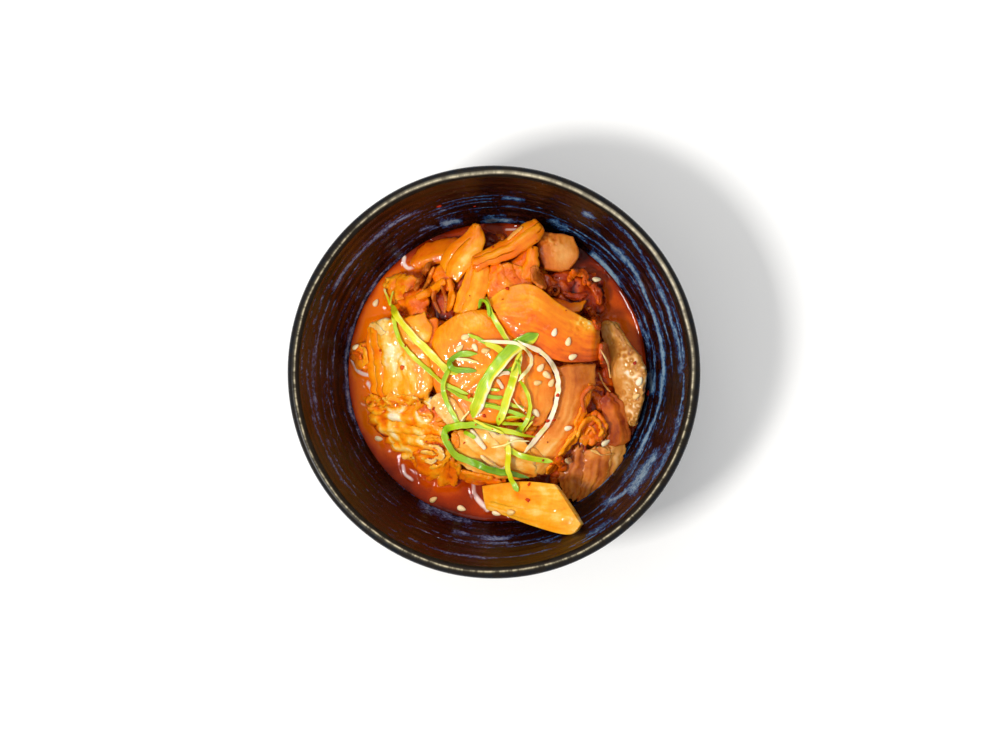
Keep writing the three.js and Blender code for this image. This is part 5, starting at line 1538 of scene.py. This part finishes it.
# %% Scallion shreds
# path seen from above, width, green at both ends (0 cream to 1 dark green), roll, cream left edge
SHREDS = {
    "under_bit": ([[-10.4, -19.8], [-8.7, -20.4], [-6.5, -21.7]], 1.3, 0.65, 0.6, 0.2, 0),
    "cross_a": ([[-6.2, -9.4], [-2.4, -10.5], [1.1, -11.1]], 1.1, 0.6, 0.55, 0.3, 0),
    "cross_b": ([[2.4, -12.2], [6.3, -13.5], [9.8, -14.4]], 1.2, 0.62, 0.55, 0.4, 0),
    "cross_c": ([[1.5, -15.1], [5.5, -14.6], [9.8, -14.3]], 0.9, 0.5, 0.5, 0.6, 0),
    "diag_a": ([[12.8, -14.2], [9.6, -17.1], [6.3, -19.5]], 1.0, 0.5, 0.6, 0.5, 0),
    "diag_b": ([[8.8, -20.1], [10.7, -18.4], [12.6, -16.2]], 0.7, 0.25, 0.2, 0.4, 0),
    "dark_curl": ([[2, 2.9], [2.6, 0.9], [4.4, 0.2], [6, 1.6]], 1.3, 0.95, 0.8, 0.8, 0),
    "white_shard": ([[0.3, -1.1], [2.5, -0.5], [5.0, -0.4]], 1.5, 0.0, 0.02, 0.5, 0),
    "white_end": ([[0.9, -2.3], [1.7, -3.8], [2.5, -5.5]], 1.1, 0.05, 0.02, 0.3, 0),
    "long_olive": (
        [[-33.9, 20.5], [-33.6, 16.2], [-30.9, 9.4], [-24.5, 2.7], [-17.1, -3.7], [-8, -7.5]],
        1.5, 0.45, 0.55, 0.5, 0,
    ),
    "long_yellow": (
        [[-35.4, 23], [-32, 17.6], [-28.1, 13], [-21.3, 6], [-16, 1], [-12, -0.5]],
        2.4, 0.42, 0.32, 0.3, 0.1,
    ),
    "tip_left": ([[-37.7, 28.1], [-36.6, 25.6], [-35, 21.8]], 0.8, 0.16, 0.34, 0.1, 0),
    "tip_right": ([[-34.4, 27.1], [-35, 24.7], [-35.2, 22]], 0.7, 0.24, 0.34, 0.1, 0),
    "cross_d": ([[-4.6, -4.2], [-1.6, -5.4], [1.6, -5.9]], 1.0, 0.62, 0.5, 0.4, 0),
    "cross_e": ([[-5.5, -6.6], [-1.6, -7.9], [2.6, -8.4]], 1.3, 0.6, 0.66, 0.3, 0),
    "cross_f": ([[3.4, -9.8], [6.4, -10.9], [9.4, -11.4]], 1.1, 0.55, 0.6, 0.5, 0),
    "cross_g": ([[2.2, -16.9], [6, -16.8], [10.4, -17.4]], 1.2, 0.6, 0.5, 0.5, 0),
    "cross_strip": ([[-16.5, -5.5], [-5.5, -10], [0, -11.5], [10, -14.5]], 1.5, 0.55, 0.62, 0.5, 0),
    "green_arc": ([[-14.5, 2.6], [-17.1, -4], [-15.9, -10], [-13.3, -14.9], [-11.4, -18]], 1.7, 0.6, 0.66, 0.4, 0.15),
    "rolled_ring": ([[-5.7, 5.9], [-11.8, 5.6], [-14.6, 3.3], [-13, 1.1], [-6, 0.6]], 2.0, 0.74, 0.76, 0.5, 0),
    "ring_inside": ([[-12.7, 4.1], [-9.4, 4.1], [-5.4, 3.4]], 0.9, 0.08, 0.1, 0.3, 0),
    "top_thread": ([[-3, 24.6], [-1, 19.5], [1.6, 14.5], [5, 9]], 1.7, 0.66, 0.5, 0.3, 0.3),
    "top_curl": ([[-5.6, 21], [-4.4, 23.4], [-2.2, 22], [-1.6, 18]], 1.2, 0.72, 0.6, 0.7, 0),
    "dark_thread": ([[-9, 12.4], [-3.2, 9.5], [4, 5.5]], 1.2, 0.6, 0.5, 0.3, 0),
    "yellow_wedge": ([[-3.2, 9.6], [0.3, 8.2], [4.1, 5.5]], 2.2, 0.4, 0.36, 0.2, 0),
    "broad_blade": ([[14.4, 12.2], [6.5, 8], [-2, -2], [-7.5, -15]], 4.2, 0.78, 0.5, 0.22, 0.55),
    "second_blade": ([[8.5, 6.5], [5.5, -4], [1, -17.5]], 2.7, 0.4, 0.48, 0.3, 0.3),
    "fork_a": ([[8.9, 7.2], [7.0, 3.3], [5.4, 0.2]], 0.8, 0.3, 0.36, 0.4, 0),
    "fork_b": ([[6.6, 3.8], [8.0, 1.6], [8.5, -0.9]], 0.8, 0.55, 0.62, 0.4, 0),
    "short_arc": ([[8, -2], [11.3, -8.5], [10.9, -15], [7.4, -20.5]], 1.4, 0.6, 0.55, 0.5, 0.2),
    "hair": ([[5.8, -8.6], [7.7, -11.1], [10.4, -13.4]], 0.5, 0.1, 0.05, 0, 0),
    "cream_loop": ([[-4.5, 10.2], [6, 9.5], [11.3, 6.3], [11.7, 2], [7.6, -3]], 1.2, 0.12, 0.1, 0.5, 0),
    "pale_arc": ([[7.6, 10.4], [16, 5.5], [20.2, -1], [20.5, -8], [16.5, -18], [9, -27]], 1.6, 0.03, 0.04, 0.4, 0),
    "blade_foot": ([[-11.2, -16.3], [-9.8, -14.4], [-8.4, -12.7]], 0.6, 0.12, 0.1, 0.2, 0),
    "long_loop": (
        [[13, -21.5], [-2, -18], [-12, -17.5], [-17, -20.5], [-13, -27.5], [-5.5, -30.5], [0, -32.5], [11, -35]],
        2.3, 0.5, 0.86, 0.4, 0,
    ),
    "loop_twin": ([[-7.3, -15.5], [-4.6, -17], [-0.8, -18.6], [3.0, -20.1]], 0.9, 0.3, 0.36, 0.3, 0),
    "cross_blade": ([[3, -25], [8.5, -27.5], [19, -29.5]], 1.9, 0.5, 0.62, 0.3, 0.15),
    "down_thread": ([[4, -22.5], [4.5, -33], [7.5, -39.5]], 1.8, 0.2, 0.66, 0.3, 0),
    "cream_thread": ([[-1.3, -25.1], [2.5, -24.4], [6.6, -22.8], [11.2, -22.7]], 0.6, 0.14, 0.1, 0.2, 0),
}  # fmt: skip
SHRED_THICK = 0.55
SHRED_SIDES = 12


def drape(ground, passes):
    """Lifts each point to the mean of its neighbours, where that is higher, as often as passes says."""
    height = ground.copy()
    for _ in range(passes):
        between = 0.5 * (height[:-2] + height[2:])
        height[1:-1] = np.maximum(ground[1:-1], between)
    return height


def shred(path, wide, green_start, green_end, roll, cream, seed):
    """One strip. Across it, place = s * width and height = rim(s) * thickness / 2 + hollow * s^2, for s from
    -1 to 1 and back, turned round the path by the roll, which swings to and fro along it."""
    rough_line = through(path, np.linspace(0, 1, 60))
    length = np.linalg.norm(np.diff(rough_line, axis=0), axis=1).sum()
    u = np.linspace(0, 1, int(np.clip(length / 0.35, 18, 150)))
    run = u * length
    place = through(path, u)
    ahead = np.gradient(place, axis=0)
    ahead /= np.linalg.norm(ahead, axis=1, keepdims=True)
    aside = np.stack([-ahead[:, 1], ahead[:, 0]], axis=1)
    place = place + aside * (0.22 * rough(run / 4, 0 * u, seed))[:, None]
    width = 0.5 * wide * (0.15 + 0.85 * np.sqrt(smooth(0, 0.14, u) * smooth(0, 0.1, 1 - u)))
    width = width * (1 + 0.12 * noise(run / 3, 0 * u + 5, seed))
    turn = roll * (np.sin(run / 5 + seed) + 0.5 * noise(run / 2.5, 0 * u + 9, seed))
    ground_map = widened(food_top)
    spots = [read_map(ground_map, *(place + aside * (s * width)[:, None]).T) for s in (-1, -0.4, 0.4, 1)]
    ground = np.max(spots, axis=0) + width * np.abs(np.sin(turn)) * 0.7 + 0.5 * SHRED_THICK
    height = drape(ground, 30)
    for _ in range(3):
        height[1:-1] = 0.25 * height[:-2] + 0.5 * height[1:-1] + 0.25 * height[2:]
    spine = np.column_stack([place, height])
    ahead = np.gradient(spine, axis=0)
    ahead /= np.linalg.norm(ahead, axis=1, keepdims=True)
    side = np.column_stack([aside, 0 * u])
    up = np.cross(ahead, side)
    up *= np.sign(up[:, 2:])
    cos, sin = np.cos(turn)[:, None], np.sin(turn)[:, None]
    side, up = side * cos + up * sin, up * cos - side * sin
    angle = (np.arange(SHRED_SIDES) + 0.5) * 2 * math.pi / SHRED_SIDES
    s, rim = np.cos(angle), np.sign(np.sin(angle)) * np.abs(np.sin(angle)) ** 0.6
    out = (width[:, None] * s)[..., None]
    hollow = 0.28 * width[:, None] * (s**2 - 0.4)
    rise = (hollow + 0.5 * SHRED_THICK * rim * (0.4 + 0.6 * width[:, None] / width.max()))[..., None]
    points = spine[:, None] + side[:, None] * out + up[:, None] * rise
    green = green_start + (green_end - green_start) * u[:, None]
    green = green + 0.08 * noise(run / 3, 0, seed + 1)[:, None]
    green = green - cream * smooth(0.25, 0.9, s)[None, :] + 0.05 * (rim < 0)
    ids = np.arange(points.shape[0] * SHRED_SIDES).reshape(-1, SHRED_SIDES)
    faces = np.concatenate([grid_faces(ids, wrap=True), cap(ids[0]), cap(ids[-1])[:, ::-1]])
    lengthwise, sideways = np.broadcast_arrays(run[:, None] / 10, s[None, :] * 0.5)
    uv = np.stack([lengthwise, sideways], axis=-1).reshape(-1, 2)
    return points.reshape(-1, 3), faces, {"green": green.ravel()}, uv


def add_scallion():
    strips = []
    for number, row in enumerate(SHREDS.values()):
        strips.append(outward(shred(*row, 300 + 7 * number)))
        raise_map(strips[-1][0])
    return add_mesh("scallion_tangle", *joined(strips))


def scallion_material():
    graph = Graph("fresh_scallion")
    fibre = graph.noise(graph.uv(1.5, 9), 1.0, 4.0, 0.6)
    patch = graph.noise(graph.place(), 420.0, 3.0)
    green = graph.math("MULTIPLY_ADD", graph.math("SUBTRACT", fibre, 0.5), 0.35, graph.attribute("green"))
    green = graph.math("MULTIPLY_ADD", graph.math("SUBTRACT", patch, 0.5), 0.25, green)
    stops = [(0.0, "FFE6C4"), (0.14, "F8EC98"), (0.3, "E8DC14"), (0.46, "CCD40A"), (0.6, "A8CC0C")]
    stops += [(0.76, "7CAC0A"), (1.0, "466C06")]
    normal = graph.bump(fibre, 0.0001)
    return graph.finish(
        Base_Color=graph.ramp(green, stops),
        Roughness=0.36,
        Normal=normal,
        Subsurface_Weight=0.15,
        Subsurface_Radius=(0.7, 1.0, 0.2),
        Subsurface_Scale=0.001,
        Coat_Weight=0.3,
        Coat_Roughness=0.15,
    )


scallion = finish_piece(add_scallion(), scallion_material(), "scallion", "scallion_shreds")
print("scallion strips:", len(SHREDS), "highest, mm:", round(food_top.max(), 1))

# %% [markdown]
# ## Chilli flakes
# A few flakes of dried chilli cling to the cabbage, and three to the wall of the bowl. They are chips of one
# bent, uneven shape, scattered by seeded draws over the food, with the clearest ones where they are listed.
# A flake on the wall is given by its angle and height, and lies flat on the slope of the wall there.

# %% Flakes
FLAKES = [
    (4.0, 27.4), (17.2, -16), (19.3, -15.8), (20.5, -7.6), (10.6, -42.2), (11, -37), (-31, 1.5), (46, 3),
    (20.3, -28.5), (22.2, -29.6), (18.4, -30.4), (-3.6, -14.4), (-8.5, -7.9), (-20.5, -12),
]  # fmt: skip
LOOSE_FLAKES = 36
WALL_FLAKES = np.array([(108.6, 40.6, 0.9), (97.2, 34.6, 0.5), (352.0, 24.4, 1.0)])


def flakes_on_wall(shape, faces):
    """At each listed angle and height, with up as the wall's normal: one part inwards for each part of height
    gained, and upwards by as much as the wall leans out for each mm of height."""
    angle, height, half = WALL_FLAKES.T
    angle = np.radians(angle)
    radius = wall_radius(height)
    lean = wall_radius(height + 1) - radius
    up = np.stack([-np.cos(angle), -np.sin(angle), lean], axis=1)
    spots = np.stack([radius * np.cos(angle), radius * np.sin(angle), height], axis=1)
    sizes = half[:, None] * np.array([1.0, 0.8, 0.35])
    return lay(shape, faces, spots, up, angle + math.pi / 2, sizes, 25)


def add_flakes():
    rng = np.random.default_rng(23)
    angle, reach = rng.uniform(0, 2 * math.pi, LOOSE_FLAKES), 46 * np.sqrt(rng.uniform(0, 1, LOOSE_FLAKES))
    loose = np.stack([reach * np.cos(angle), reach * np.sin(angle)], axis=1)
    places = np.concatenate([np.array(FLAKES), loose])
    big = np.concatenate([np.full(len(FLAKES), 0.8), rng.uniform(0.25, 0.5, LOOSE_FLAKES)])
    sizes = big[:, None] * rng.uniform([0.7, 0.5, 0.2], [1.2, 1.0, 0.4], (len(places), 3))
    shape, faces = drop_shape(8, 10)
    bent = [noise(shape[:, 1] * 2, shape[:, 0] * 2, 31 + k) for k in range(3)]
    shape = shape + 0.25 * np.stack(bent, axis=1)
    turns = rng.uniform(0, 2 * math.pi, len(places))
    parts = [scatter(shape, faces, places, turns, sizes, 0.4, 24), flakes_on_wall(shape, faces)]
    return add_mesh("chilli_flakes", *joined([(*part, part[0][:, :2] / 10) for part in parts]))


def flake_material():
    graph = Graph("dried_chilli")
    grain = graph.noise(graph.place(), 2400.0, 3.0)
    tint = graph.math("MULTIPLY_ADD", grain, 0.5, graph.math("MULTIPLY", graph.attribute("shade"), 0.5))
    colour = graph.ramp(tint, [(0.2, "8E1400"), (0.5, "CC3200"), (0.85, "EE6206")])
    normal = graph.bump(grain, 0.00008)
    return graph.finish(Base_Color=colour, Roughness=0.45, Normal=normal, Specular_IOR_Level=0.2)


flakes = finish_piece(add_flakes(), flake_material(), "chilli")
print("flakes:", len(FLAKES) + LOOSE_FLAKES + len(WALL_FLAKES))
